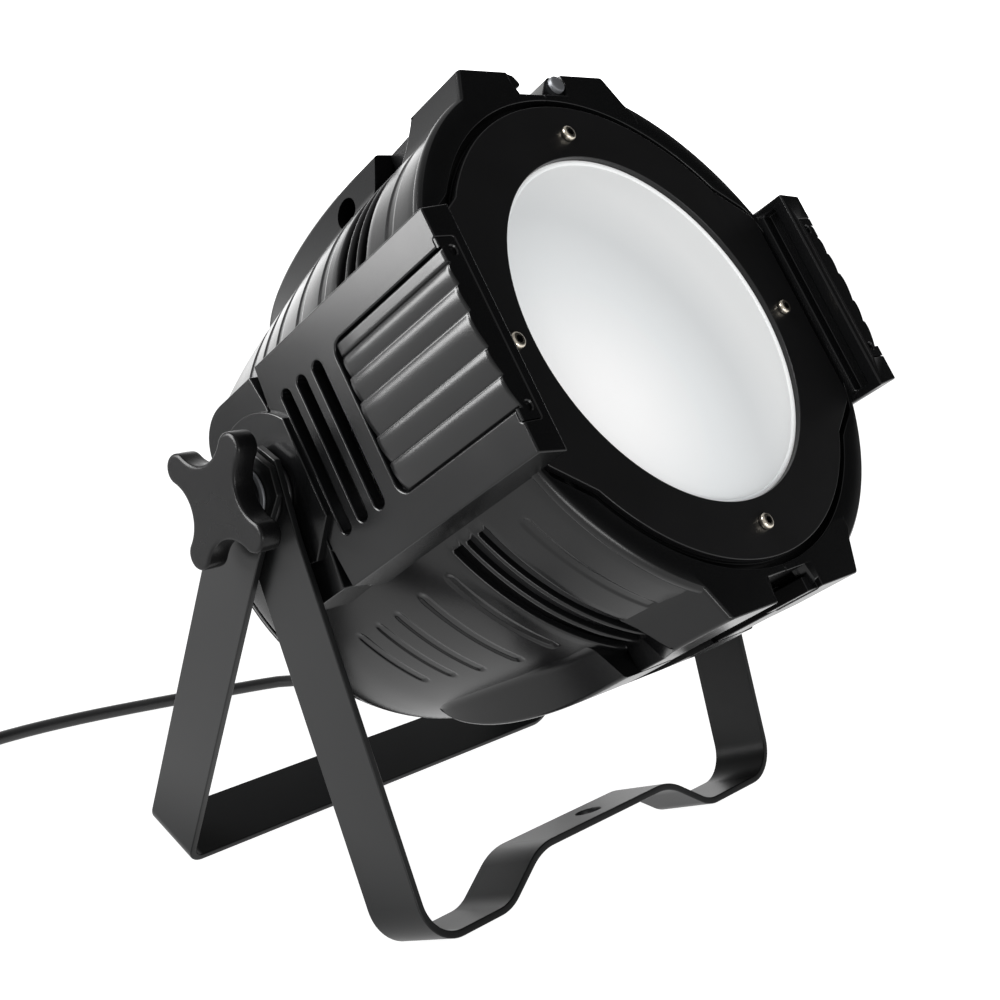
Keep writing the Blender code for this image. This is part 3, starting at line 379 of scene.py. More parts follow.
def lens_mat():
    m = bpy.data.materials.new("frosted_lens_painted_light")
    m.use_nodes = True
    nt = m.node_tree
    b = nt.nodes["Principled BSDF"]
    b.inputs["Roughness"].default_value = 0.5
    b.inputs["Subsurface Weight"].default_value = 0.25
    b.inputs["Subsurface Radius"].default_value = (0.01, 0.01, 0.01)
    tc = nt.nodes.new("ShaderNodeTexCoord")
    # painted light: the diffuser is painted whiter towards its lower left, where the light from the front left falls on
    # it, in its own coordinates
    near = nt.nodes.new("ShaderNodeVectorMath")
    near.operation = "DISTANCE"
    near.inputs[1].default_value = AT_CAN @ Vector((-0.052, -0.1156, -0.030))
    nt.links.new(tc.outputs["Object"], near.inputs[0])
    ramp = nt.nodes.new("ShaderNodeValToRGB")
    ramp.color_ramp.elements[0].position = 0.012
    ramp.color_ramp.elements[0].color = (0.99, 0.99, 0.99, 1)
    ramp.color_ramp.elements[1].position = 0.118
    ramp.color_ramp.elements[1].color = (0.79, 0.80, 0.80, 1)
    for pos, v in ((0.060, 0.80), (0.088, 0.70)):
        ramp.color_ramp.elements.new(pos).color = (v * 0.975, v, v * 1.01, 1)
    nt.links.new(near.outputs["Value"], ramp.inputs["Fac"])
    # painted highlight: its moulded rim is painted whiter than the face, standing in for the light caught on its edge
    mid = nt.nodes.new("ShaderNodeVectorMath")
    mid.operation = "DISTANCE"
    mid.inputs[1].default_value = AT_CAN @ Vector((0.0, -0.1158, 0.0))
    nt.links.new(tc.outputs["Object"], mid.inputs[0])
    rim = nt.nodes.new("ShaderNodeValToRGB")
    rim.color_ramp.elements[0].position = 0.0785
    rim.color_ramp.elements[0].color = (0.0, 0.0, 0.0, 1)
    rim.color_ramp.elements[1].position = 0.0808
    rim.color_ramp.elements[1].color = (0.97, 0.97, 0.97, 1)
    nt.links.new(mid.outputs["Value"], rim.inputs["Fac"])
    painted_light_tone = nt.nodes.new("ShaderNodeVectorMath")
    painted_light_tone.operation = "MAXIMUM"
    nt.links.new(ramp.outputs["Color"], painted_light_tone.inputs[0])
    nt.links.new(rim.outputs["Color"], painted_light_tone.inputs[1])
    nt.links.new(painted_light_tone.outputs["Vector"], b.inputs["Base Color"])
    # painted glow: the unlit lens emits a little light in its painted tone, standing in for the light that falls on it
    nt.links.new(painted_light_tone.outputs["Vector"], b.inputs["Emission Color"])
    b.inputs["Emission Strength"].default_value = 0.185
    no = nt.nodes.new("ShaderNodeTexNoise")
    no.inputs["Scale"].default_value = 700.0
    nt.links.new(tc.outputs["Object"], no.inputs["Vector"])
    bump = nt.nodes.new("ShaderNodeBump")
    bump.inputs["Strength"].default_value = 0.15
    bump.inputs["Distance"].default_value = 0.0001
    nt.links.new(no.outputs["Fac"], bump.inputs["Height"])
    nt.links.new(bump.outputs["Normal"], b.inputs["Normal"])
    m.diffuse_color = (0.9, 0.9, 0.9, 1)
    return m


LENS = lens_mat()

# ---------------------------------------------------------------- camera
F, PX, PY_ = 1570.1835, 506.2130, 503.9069
RIGHT = Vector((0.6627306137936817, -0.7486312300697432, 0.01842321646491935))
DOWN = Vector((-0.15877370001430816, -0.16451280274373176, -0.973512429256642))
FWD = Vector((0.7318326623787822, 0.6422513675327327, -0.22789062108370817))
OFF = (-9.762582689847806, -25.564961619150996, 730.2588004230673)
cam_pos = PIVOT - (RIGHT * OFF[0] + DOWN * OFF[1] + FWD * OFF[2]) * MM
cam_data = bpy.data.cameras.new("camera")
cam = bpy.data.objects.new("camera", cam_data)
SCENE.objects.link(cam)
rot = Matrix((RIGHT, -DOWN, -FWD)).transposed()
cam.matrix_world = Matrix.Translation(cam_pos) @ rot.to_4x4()
cam_data.sensor_width = 36.0
cam_data.lens = F / 1000.0 * 36.0
cam_data.shift_x = (500.0 - PX) / 1000.0
cam_data.shift_y = (PY_ - 500.0) / 1000.0
cam_data.clip_start = 0.01
bpy.context.scene.camera = cam


# ---------------------------------------------------------------- studio
def area(name, loc, aim, size, power, size_y=None, colour=(1, 1, 1)):
    d = bpy.data.lights.new(name, "AREA")
    d.shape = "RECTANGLE"
    d.size = size
    d.size_y = size_y or size
    d.energy = power
    d.color = colour
    o = bpy.data.objects.new(name, d)
    SCENE.objects.link(o)
    o.location = loc
    o.rotation_euler = (Vector(aim) - Vector(loc)).to_track_quat("-Z", "Y").to_euler()
    return o


bpy.context.scene.view_settings.view_transform = "Standard"
world = bpy.data.worlds.new("studio")
bpy.context.scene.world = world
world.use_nodes = True
wt = world.node_tree
bg = wt.nodes["Background"]
bg.inputs["Strength"].default_value = 1.0
# grey room with a white backdrop behind the lamp and a dark side at the front right, up high
wc = wt.nodes.new("ShaderNodeTexCoord")


def lobe(direction, stops):
    d = wt.nodes.new("ShaderNodeVectorMath")
    d.operation = "DOT_PRODUCT"
    d.inputs[1].default_value = Vector(direction).normalized()
    wt.links.new(wc.outputs["Generated"], d.inputs[0])
    r = wt.nodes.new("ShaderNodeValToRGB")
    for e, (pos, v) in zip(r.color_ramp.elements, stops):
        e.position = pos
        e.color = (v, v, v, 1.0)
    wt.links.new(d.outputs["Value"], r.inputs["Fac"])
    return r


room = lobe((0.76, -0.26, 0.60), ((0.80, 0.50), (0.955, 0.02)))
drop = lobe((0.75, 0.66, 0.04), ((0.80, 0.0), (0.92, 0.65)))
both = wt.nodes.new("ShaderNodeVectorMath")
both.operation = "ADD"
wt.links.new(room.outputs["Color"], both.inputs[0])
wt.links.new(drop.outputs["Color"], both.inputs[1])
# a bright band low down behind the lamp
back = lobe((0.40, 0.92, 0.0), ((0.62, 0.0), (0.99, 1.0)))
part = wt.nodes.new("ShaderNodeSeparateXYZ")
wt.links.new(wc.outputs["Generated"], part.inputs["Vector"])
rise = wt.nodes.new("ShaderNodeValToRGB")
for e, (pos, v) in zip(rise.color_ramp.elements, ((0.04, 1.0), (0.24, 0.22))):
    e.position = pos
    e.color = (v, v, v, 1.0)
wt.links.new(part.outputs["Z"], rise.inputs["Fac"])
strip = wt.nodes.new("ShaderNodeVectorMath")
strip.operation = "MULTIPLY"
wt.links.new(back.outputs["Color"], strip.inputs[0])
wt.links.new(rise.outputs["Color"], strip.inputs[1])
# darker low down to the left and straight above
for direction, stops in (((-0.74, 0.66, 0.08), ((0.80, 1.0), (0.97, 0.50))), ((-0.10, 0.0, 1.0), ((0.90, 1.0), (0.99, 0.45)))):
    shade = lobe(direction, stops)
    dimmed = wt.nodes.new("ShaderNodeVectorMath")
    dimmed.operation = "MULTIPLY"
    wt.links.new(both.outputs["Vector"], dimmed.inputs[0])
    wt.links.new(shade.outputs["Color"], dimmed.inputs[1])
    both = dimmed
glow = wt.nodes.new("ShaderNodeVectorMath")
glow.operation = "MULTIPLY_ADD"
glow.inputs[1].default_value = (1.7, 1.7, 1.7)
wt.links.new(strip.outputs["Vector"], glow.inputs[0])
wt.links.new(both.outputs["Vector"], glow.inputs[2])
wt.links.new(glow.outputs["Vector"], bg.inputs["Color"])

AIM = (0.0, 0.02, 0.18)
key = area("key_left", (-0.90, 0.555, 0.778), (-0.108, -0.01, 0.550), 0.62, 44.0, 1.27)
low = area("front_low", (-0.40, -1.10, 0.08), (0.0, -0.05, 0.16), 0.7, 5.0, 0.28)

fl = bpy.data.meshes.new("floor")
fl.from_pydata([(-6, -6, 0), (6, -6, 0), (6, 6, 0), (-6, 6, 0)], [], [(0, 1, 2, 3)])
floor = bpy.data.objects.new("floor", fl)
SCENE.objects.link(floor)
floor.location.z = -0.0002
fm = bpy.data.materials.new("pale_floor")
fm.use_nodes = True
fm.node_tree.nodes["Principled BSDF"].inputs["Base Color"].default_value = (0.45, 0.45, 0.45, 1)
fm.node_tree.nodes["Principled BSDF"].inputs["Emission Color"].default_value = (1.0, 1.0, 1.0, 1)
# the floor's own glow fades out far to the left of the lamp
fc = fm.node_tree.nodes.new("ShaderNodeTexCoord")
fd = fm.node_tree.nodes.new("ShaderNodeVectorMath")
fd.operation = "DOT_PRODUCT"
fd.inputs[1].default_value = (-0.863, 0.506, 0.0)
fm.node_tree.links.new(fc.outputs["Object"], fd.inputs[0])
fr = fm.node_tree.nodes.new("ShaderNodeMapRange")
fr.interpolation_type = "SMOOTHSTEP"
fr.inputs["From Min"].default_value = 0.78
fr.inputs["From Max"].default_value = 1.00
fr.inputs["To Min"].default_value = 0.98
fr.inputs["To Max"].default_value = 0.28
fm.node_tree.links.new(fd.outputs["Value"], fr.inputs["Value"])
fm.node_tree.links.new(fr.outputs["Result"], fm.node_tree.nodes["Principled BSDF"].inputs["Emission Strength"])
fm.node_tree.nodes["Principled BSDF"].inputs["Roughness"].default_value = 0.9
fm.node_tree.nodes["Principled BSDF"].inputs["Specular IOR Level"].default_value = 0.1
fl.materials.append(fm)
# the lamps light the object and not the floor, which is lit evenly by the room
unlit = bpy.data.collections.new("not_lit_by_lamps")
unlit.objects.link(floor)
unlit.collection_objects[0].light_linking.link_state = "EXCLUDE"
key.light_linking.receiver_collection = unlit
low.light_linking.receiver_collection = unlit


# ---------------------------------------------------------------- lead
def can_point(x, a, u):
    return AT_CAN @ Vector((x * MM, -a * MM, u * MM)) / MM


def bezier(p0, p1, p2, p3, n):
    return [p0 * (1 - t) ** 3 + p1 * 3 * (1 - t) ** 2 * t + p2 * 3 * (1 - t) * t * t + p3 * t ** 3
            for t in (i / n for i in range(n + 1))]


def through(points, step):
    pts = [Vector(p) for p in points]
    ext = [pts[0] * 2 - pts[1]] + pts + [pts[-1] * 2 - pts[-2]]
    fine = []
    for i in range(1, len(ext) - 2):
        p0, p1, p2, p3 = ext[i - 1], ext[i], ext[i + 1], ext[i + 2]
        d0, d1, d2 = (p1 - p0).length ** 0.5, (p2 - p1).length ** 0.5, (p3 - p2).length ** 0.5
        m1 = (p1 - p0) / d0 - (p2 - p0) / (d0 + d1) + (p2 - p1) / d1
        m2 = (p2 - p1) / d1 - (p3 - p1) / (d1 + d2) + (p3 - p2) / d2
        for k in range(24):
            s = k / 24
            h = (2 * s ** 3 - 3 * s ** 2 + 1, s ** 3 - 2 * s ** 2 + s, -2 * s ** 3 + 3 * s ** 2, s ** 3 - s ** 2)
            fine.append(p1 * h[0] + m1 * d1 * h[1] + p2 * h[2] + m2 * d1 * h[3])
    fine.append(pts[-1])
    out = [fine[0]]
    total = sum((b - a).length for a, b in zip(fine, fine[1:]))
    n = max(2, round(total / step))
    want, run, k = total / n, 0.0, 1
    for a, b in zip(fine, fine[1:]):
        seg = (b - a).length
        while k < n and run + seg >= want * k - 1e-9:
            out.append(a.lerp(b, (want * k - run) / seg))
            k += 1
        run += seg
    out.append(fine[-1])
    return out


PVY = PIVOT.y / MM
REST = CORD_D / 2 + 0.3
g0 = can_point(GLAND[0], -138.3, GLAND[1])
out_dir = (can_point(0, -1, 0) - can_point(0, 0, 0)).normalized()
TURN_R = 30.0
TURN_END = Vector((50.0, PVY + 214.6, REST))
TURN_OUT = math.radians(163.0)
TURN_C = TURN_END + TURN_R * Vector((-math.sin(TURN_OUT), math.cos(TURN_OUT), 0.0))
LAND = TURN_C + Vector((TURN_R, 0.0, 0.0))
START = g0 + out_dir * 7.0
ROUTE = bezier(START, START + out_dir * 38.0, LAND - Vector((0, 64.0, 0)), LAND, 9)
for i in range(1, 6):
    t = (TURN_OUT - math.pi / 2) * i / 5
    ROUTE.append(TURN_C + TURN_R * Vector((math.cos(t), math.sin(t), 0.0)))
ROUTE += [Vector((x, PVY + y, REST)) for x, y in ((18.0, 224.4), (-14.7, 233.9), (-52.9, 243.6), (-80.0, 248.6),
                                                 (-104.0, 251.0))]
ENTRY = Vector((COIL_X + 8.0, COIL_Y - COIL_OUT - CORD_D / 2 - 0.35, REST + 1.7))
ROUTE += [Vector((-131.0, PVY + 249.5, REST + 0.6)), ENTRY]

R_OUT, R_MID = 42.8, 34.4
Z1, Z2, Z3 = REST + 1.8, REST + 8.95, REST + 16.1


def coil_point(deg):
    """Centre of the lead in the coil; deg counts down, clockwise from above."""
    r, z = 50.35, ENTRY.z
    r += (R_OUT - r) * sstep(0, 80, -90 - deg)          # into the outer lower place
    z += (Z1 - z) * sstep(0, 60, -90 - deg)
    r += (R_MID - r) * sstep(0, 60, -450 - deg)         # across to the inner lower place
    z += (Z2 - z) * sstep(0, 90, -30 - 720 - deg)       # up to the inner middle place
    r += (R_OUT - r) * sstep(0, 90, 20 - 1080 - deg)    # out to the outer middle place
    z += (Z3 - z) * sstep(0, 90, 60 - 1440 - deg)       # up to the outer top place
    r += (PLUG_AT.y - COIL_Y + 0.45 - r) * sstep(0, 36, 156 - 1800 - deg)
    z += (PLUG_AT.z - z) * sstep(0, 39, 140 - 1800 - deg)
    t = math.radians(deg)
    return Vector((COIL_X + r * math.cos(t), COIL_Y + r * math.sin(t), z))


PLUG_AT = Vector((COIL_X - 8.0, COIL_Y + COIL_OUT + 4.2, 9.0))
near, far = through(ROUTE, 2.6), through(ROUTE, 11.0)
run = [sum((b - a).length for a, b in zip(pts[:k], pts[1:k + 1])) for pts, k in ((far, 8),)][0]
path, gone = [g0, near[0]], 0.0
for a, b in zip(near, near[1:]):
    gone += (b - a).length
    if gone < run - 2.0:
        path.append(b)
path += far[8:-1]
deg = -81.0
path.append(ENTRY)
deg = -90.0
while deg > 100 - 1800 + 6:
    path.append(coil_point(deg))
    deg -= 7.5
path.append(PLUG_AT + Vector((-6.0, 0.1, 0.15)))
path.append(PLUG_AT + Vector((-0.4, 0.0, 0.0)))


def tube(name, pts, radius, sides=20):
    """Round tube along points, with a frame carried along the path."""
    verts, faces = [], []
    n = len(pts)
    up = Vector((1, 0, 0))
    for i, p in enumerate(pts):
        d = (pts[min(i + 1, n - 1)] - pts[max(i - 1, 0)]).normalized()
        up = (up - d * up.dot(d)).normalized()
        side = d.cross(up)
        for k in range(sides):
            t = 2 * math.pi * k / sides
            verts.append(p + (up * math.cos(t) + side * math.sin(t)) * radius)
    for i in range(n - 1):
        for k in range(sides):
            k2 = (k + 1) % sides
            faces.append([i * sides + k, i * sides + k2, (i + 1) * sides + k2, (i + 1) * sides + k])
    faces.append(list(range(sides)))
    faces.append(list(range((n - 1) * sides, n * sides)))
    return mesh_object(name, verts, faces)


LENGTH = sum((b - a).length for a, b in zip(path, path[1:])) * MM
print("lead length", LENGTH, "points", len(path))
lead = tube("lead", path, CORD_D / 2)
smooth(lead, 60)
lead.data.materials.append(RUBBER)
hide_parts("mains_cord", "cord_coil")
held = lambda dist: next(q for q, w in zip(path, [(p - g0).length for p in path]) if w >= dist) * MM
tuple(held(60.0))
tuple(held(4.0))
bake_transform(lead)
[tuple(p * MM) for p in path]

# ---------------------------------------------------------------- barrel
PROFILE = [(113.8, 121.7), (110.0, 121.9), (95.0, 121.2), (60.0, 120.5), (36.0, 119.5), (0.0, 115.7), (-41.0, 110.0),
           (-57.0, 107.0), (-73.0, 103.0), (-83.0, 98.0), (-91.0, 92.0), (-96.0, 86.6), (-98.0, 83.4)]


def body_r(a):
    """Smooth outer radius of the barrel at a."""
    p = PROFILE
    if a >= p[0][0]:
        return p[0][1]
    if a <= p[-1][0]:
        return p[-1][1]
    for i in range(len(p) - 1):
        if p[i + 1][0] <= a <= p[i][0]:
            break
    (a1, r1), (a2, r2) = p[i], p[i + 1]
    a0, r0 = p[max(i - 1, 0)]
    a3, r3 = p[min(i + 2, len(p) - 1)]
    s1 = (r2 - r0) / (a2 - a0)
    s2 = (r3 - r1) / (a3 - a1)
    h = a2 - a1
    s = (a - a1) / h
    return (r1 * (2 * s ** 3 - 3 * s ** 2 + 1) + s1 * h * (s ** 3 - 2 * s ** 2 + s)
            + r2 * (-2 * s ** 3 + 3 * s ** 2) + s2 * h * (s ** 3 - s ** 2))


SLOTS = [(78.2, 72.8), (70.6, 65.2), (62.8, 56.6)]
SLOT_T = (17.8, 62.5)
TAIL_SLOTS = [(-76.6, -79.4), (-83.2, -85.8)]
TAIL_T = (40.0, 82.0)
MARKS = [(95.0, 28.0, 60.0), (45.0, 32.0, 59.0), (25.0, 33.0, 58.5), (5.0, 35.0, 58.0), (-10.0, 37.0, 58.0), (-25.0, 39.0, 58.0)]
CAVITY = (20.7, 108.0, 68.0)
NOTCH_T = 8.6


def barrel():
    al = {113.8, -98.0, CAVITY[0], CAVITY[1]}
    a = 112.0
    while a > -97:
        al.add(round(a, 2))
        a -= 3.0
    keep = set()
    for hi, lo in SLOTS + TAIL_SLOTS:
        for d in (0.0, 0.25, 0.6, 1.1):
            keep |= {round(hi + d, 3), round(lo - d, 3)}
    for ac, t0, t1 in MARKS:
        for d in (0.0, 1.0, 1.75, 2.1, 2.45, 2.8, 3.4):
            keep |= {round(ac + d, 3), round(ac - d, 3)}
    al = {v for v in al if all(abs(v - k) > 0.7 for k in keep) or v in (113.8, -98.0)} | keep
    al = sorted(al, reverse=True)
    al2 = [al[0]]
    for v in al[1:]:
        if al2[-1] - v > 0.12:
            al2.append(v)
    al = al2
    tl = []
    t = SPLIT / 120 * 57.3
    fixed = [SLOT_T[0], SLOT_T[1], TAIL_T[0], TAIL_T[1], CAVITY[2], NOTCH_T]
    fixed = sorted(fixed + [180 - v for v in fixed])
    while t < 180:
        tl.append(t)
        ph = min(t, 180 - t)
        t += 0.5 if 25 < ph < 62.5 else 1.5
    tl = [v for v in tl if all(abs(v - f) > 0.26 for f in fixed)] + fixed + [180 - tl[0]]
    tl = sorted(set(tl))

    def hole(a, t):
        ph = min(t, 180 - t)
        for hi, lo in SLOTS:
            if lo < a < hi and SLOT_T[0] < ph < SLOT_T[1]:
                return True
        for hi, lo in TAIL_SLOTS:
            if lo < a < hi and TAIL_T[0] < ph < TAIL_T[1]:
                return True
        if a > 57.0 and ph < NOTCH_T:
            return True
        return CAVITY[0] < a < CAVITY[1] and ph > CAVITY[2]

    def radius(a, t):
        ph = min(t, 180 - t)
        r = body_r(a)
        for hi, lo in SLOTS:
            if SLOT_T[0] - 0.1 < ph < SLOT_T[1] + 0.1:
                d = a - hi if a >= hi else lo - a if a <= lo else 0.0
                if d < 1.1:
                    r -= 0.7 * (1 - d / 1.1) ** 2.2
        for hi, lo in TAIL_SLOTS:
            if TAIL_T[0] - 0.1 < ph < TAIL_T[1] + 0.1:
                d = a - hi if a >= hi else lo - a if a <= lo else 0.0
                if d < 1.1:
                    r -= 0.5 * (1 - d / 1.1) ** 2
        for ac, t0, t1 in MARKS:
            if abs(a - ac) < 4:
                w = 2.3
                dd = math.degrees(w / r)
                over = max(t0 + dd - ph, ph - (t1 - dd), 0.0)
                s = math.radians(over) * r
                d = math.hypot(a - ac, s) - w
                r -= 0.6 * (1 - sstep(-0.5, 0.5, d))
        return r

    na, nt_ = len(al), len(tl)
    verts, faces = [], []
    for layer in (0, 1):
        for a in al:
            for t in tl:
                r = radius(a, t) if layer == 0 else body_r(a) - 3.4
                tr = math.radians(t)
                verts.append((-r * math.sin(tr), -a, r * math.cos(tr)))
    full = na * nt_
    there = {}
    for i in range(na - 1):
        for j in range(nt_ - 1):
            there[i, j] = not hole((al[i] + al[i + 1]) / 2, (tl[j] + tl[j + 1]) / 2)
    for (i, j), ok in there.items():
        if not ok:
            continue
        q = [i * nt_ + j, i * nt_ + j + 1, (i + 1) * nt_ + j + 1, (i + 1) * nt_ + j]
        faces.append(q)
        faces.append([v + full for v in q[::-1]])
        for (di, dj), (e0, e1) in (((-1, 0), (0, 1)), ((1, 0), (2, 3)), ((0, -1), (3, 0)), ((0, 1), (1, 2))):
            if not there.get((i + di, j + dj), False):
                faces.append([q[e1], q[e0], q[e0] + full, q[e1] + full])
    me = bpy.data.meshes.new("barrel")
    me.from_pydata([(x * MM, y * MM, z * MM) for x, y, z in verts], [], faces)
    bm = bmesh.new()
    bm.from_mesh(me)
    bmesh.ops.delete(bm, geom=[v for v in bm.verts if not v.link_faces], context="VERTS")
    bmesh.ops.recalc_face_normals(bm, faces=bm.faces)
    bm.to_mesh(me)
    bm.free()
    ob = bpy.data.objects.new("barrel", me)
    SCENE.objects.link(ob)
    return smooth(ob, 50)


LS, RS = "left_half_shell", "right_half_shell"


def baffle():
    """Light baffle behind the vent slots of a half, so that no light leaks out."""
    b = None
    for sg in (1, -1):
        pts = []
        for k in range(25):
            t = math.radians(13.0 + 54.0 * k / 24)
            pts.append((-110.0 * math.sin(t), sg * 110.0 * math.cos(t)))
        for k in range(24, -1, -1):
            t = math.radians(13.0 + 54.0 * k / 24)
            pts.append((-109.0 * math.sin(t), sg * 109.0 * math.cos(t)))
        o = prism("baffle", pts, 48.0, 90.0, along_a)
        b = o if b is None else join(b, o)
    return smooth(b, 40)


pair(baffle(), ("left_vent_baffle", "right_vent_baffle"), "can", CAST_IN, "black_cast", AT_CAN, (LS, RS))
pair(barrel(), ("left_barrel", "right_barrel"), "can", CAST, "black_cast", AT_CAN, (LS, RS))


# ---------------------------------------------------------------- bezel
def bezel():
    """Front ring; its bore widens along the tabs of the front plate and its rim is notched at the latch."""
    verts, faces = [], []
    n = 300
    count = 0
    for k in range(n + 1):
        deg = 0.08 + 179.84 * k / n
        t = math.radians(deg)
        sn, cs = math.sin(t), abs(math.cos(t))
        # the tab's slanted edge, moved out by the gap, as a line a*x + b*u = c
        tab = 104.8 / (0.5667 * sn + 0.8239 * cs)
        ri = BEZEL_IN
        if 30.0 < min(deg, 180 - deg):
            ri = max(BEZEL_IN, min(tab, 119.6))
        ro = BEZEL_R
        half = 17.8 if deg < 90 else 15.3
        if cs > 0.5 and BEZEL_R * sn < half:
            ro = min(ro, 114.3 / cs)
        prof = [(ri, 112.6), (ri, 117.7), (ri + 0.15, 118.05), (ri + 0.5, 118.2), (ro - 1.65, 118.2), (ro - 1.35, 118.1),
                (ro - 0.25, 117.0), (ro, 116.5), (ro, 114.7), (ro - 0.2, 114.1), (min(ro, 123.0), 113.75),
                (min(ro, 121.9), 113.4), (min(ro, 121.2), 112.4), (min(ro - 1, 119.9), 111.0), (88.2, 111.0), (88.2, 115.6), (108.2, 115.6), (108.2, 112.6)]
        count = len(prof)
        verts += [(-r * sn, -a, r * math.cos(t)) for r, a in prof]
    for k in range(n):
        for i in range(count):
            j = (i + 1) % count
            faces.append([k * count + i, k * count + j, (k + 1) * count + j, (k + 1) * count + i])
    faces.append(list(range(count)))
    faces.append(list(range(n * count, (n + 1) * count)))
    return smooth(mesh_object("bezel", verts, faces), 50)


pair(bezel(), ("left_bezel", "right_bezel"), "can", CAST, "black_cast", AT_CAN, (LS, RS))


# ---------------------------------------------------------------- blocks, fin and keel
def corner(p0, p1, p2, r, n=5):
    """Points of a rounded corner at p1."""
    p0, p1, p2 = Vector(p0), Vector(p1), Vector(p2)
    d0, d1 = (p0 - p1).normalized(), (p2 - p1).normalized()
    half = d0.angle(d1) / 2
    c = p1 + (d0 + d1).normalized() * (r / math.sin(half))
    s, e = p1 + d0 * (r / math.tan(half)) - c, p1 + d1 * (r / math.tan(half)) - c
    return [tuple(c + (s * (1 - k / n) + e * (k / n)).normalized() * r) for k in range(n + 1)]


CORNER = corner((0.0, 125.0), (48.0, 125.0), (54.6, 111.0), 2.4)


def block(sg):
    end = -17.8 if sg > 0 else -15.3

    def sec(a, inset):
        pts = [(-SPLIT, 104.0), (-SPLIT, 114.3), (end, 114.3), (end, BLOCK_U)] + [(-x + inset, u) for x, u in CORNER] + [
               (-54.6 + inset, 111.0), (-58.5 + inset, 105.6), (-58.5 + inset, 100.0)]
        return [(x, a, sg * u) for x, u in pts]
    b = loft("block", [sec(56.0, 0.0), sec(117.0, 0.0), sec(118.25, 1.25)])

    def lean(u):
        k = 0.47 * (u - BLOCK_U)
        return [(-80.0, 86.2 + k, sg * u), (-48.0, 86.2 + k, sg * u), (-38.3, 72.6 + k, sg * u), (-36.2, 40.0 + k, sg * u),
                (-80.0, 40.0 + k, sg * u)]
    cut(b, loft("narrow", [lean(90.0), lean(135.0)]))
    cut(b, turned("bore", [(BEZEL_IN, 112.0), (BEZEL_IN, 140.0)], 200))
    if sg > 0:
        join(b, prism("hook", [(-20.0, 114.6), (-17.2, 114.6), (-16.4, 117.0), (-11.6, 119.0), (-11.2, 120.6),
                               (-13.4, 124.0), (-16.4, 124.9), (-20.0, 124.9)], 92.0, 117.4, along_a))
    return soften(b, 0.7, 3, 28.0)


def keel(sg):
    rings = []
    n = 44
    for i in range(n + 1):
        s = i / n
        a = 57.2 - 109.5 * s
        h = 125.2 if a > 45.0 else 93.2 + 32.0 * math.sqrt(max(1.0 - ((45.0 - a) / 97.0) ** 2, 0.0))
        r = body_r(a)
        base = math.sqrt(r * r - 47.5 ** 2)
        deep = max(h - 1.9 - base, 0.0)
        ex = -47.5 - 0.36 * deep                      # drafted flank
        eu = math.sqrt(max(r * r - ex * ex, 1.0))
        f = 2.6 * min(deep / 6.0, 1.0) + 0.02         # fillet at the root
        pts = [(-SPLIT, h), (-15.0, h), (-30.0, h), (-44.5, h), (-45.7, h - 0.12), (-46.7, h - 0.5), (-47.3, h - 1.1),
               (-47.5, h - 1.9)]
        d = max(h - 1.9 - eu - f, 0.05)
        sx = (ex + 47.5) * d / max(h - 1.9 - eu, 0.06)
        pts.append((-47.5 + sx * 0.5, h - 1.9 - d * 0.5))
        p0 = Vector((-47.5 + sx, h - 1.9 - d))
        p1 = Vector((ex, eu))
        p2 = Vector((ex - f, math.sqrt(max(r * r - (ex - f) ** 2, 1.0)) - 0.15))
        for q in range(7):
            v = p0.lerp(p1, q / 6).lerp(p1.lerp(p2, q / 6), q / 6)
            pts.append((v.x, v.y))
        pts += [(p2.x + 1.0, p2.y - 5.0), (-30.0, 84.0), (-SPLIT, 84.0)]
        w = sstep(10.0, 52.0, a)
        rings.append([(x, a - 0.30 * (125.2 - u) * w, sg * u) for x, u in pts])
    kl = loft("keel", rings)
    cut(kl, box("pocket", -33.0, 5.0, 15.0, 80.0, *sorted((sg * 108.0, sg * 121.6))))
    if sg < 0:
        cut(kl, box("channel", -15.8, 5.0, 15.0, 80.0, -135.0, -110.0))
    if sg > 0:
        cut(kl, turned("screw_hole", [(6.9, -70.0), (6.9, -21.9)], 40, place=about_x(31.0, 112.5)))
    return kl


def in_window(x, a, u, n):
    return abs(x) < 18.7 and -124.6 < u < -104.0 and a < 117.6 and abs(n.y) < 0.5


for sg, word in ((1, "top"), (-1, "bottom")):
    b = block(sg)
    k = keel(sg)
    rb = mirrored(b, "r") if sg < 0 else None
    rk = mirrored(k, "r")
    put(b, "left_%s_block" % word, "can", CAST, "black_cast", AT_CAN, LS)
    if sg < 0:
        # painted shade: the walls inside the window through the block are painted near-black
        tint(b, PAINTED_SHADE, AT_CAN, in_window)
    smooth(k, 32)
    put(k, "left_%s_fin" % word, "can", CAST, "black_cast", AT_CAN, LS)
    if sg > 0:
        # the right top fin has no screw hole, so it is made afresh
        bpy.data.objects.remove(rk, do_unlink=True)
        rings_ob = None
    else:
        smooth(rk, 32)
        put(rk, "right_bottom_fin", "can", CAST, "black_cast", AT_CAN, RS)


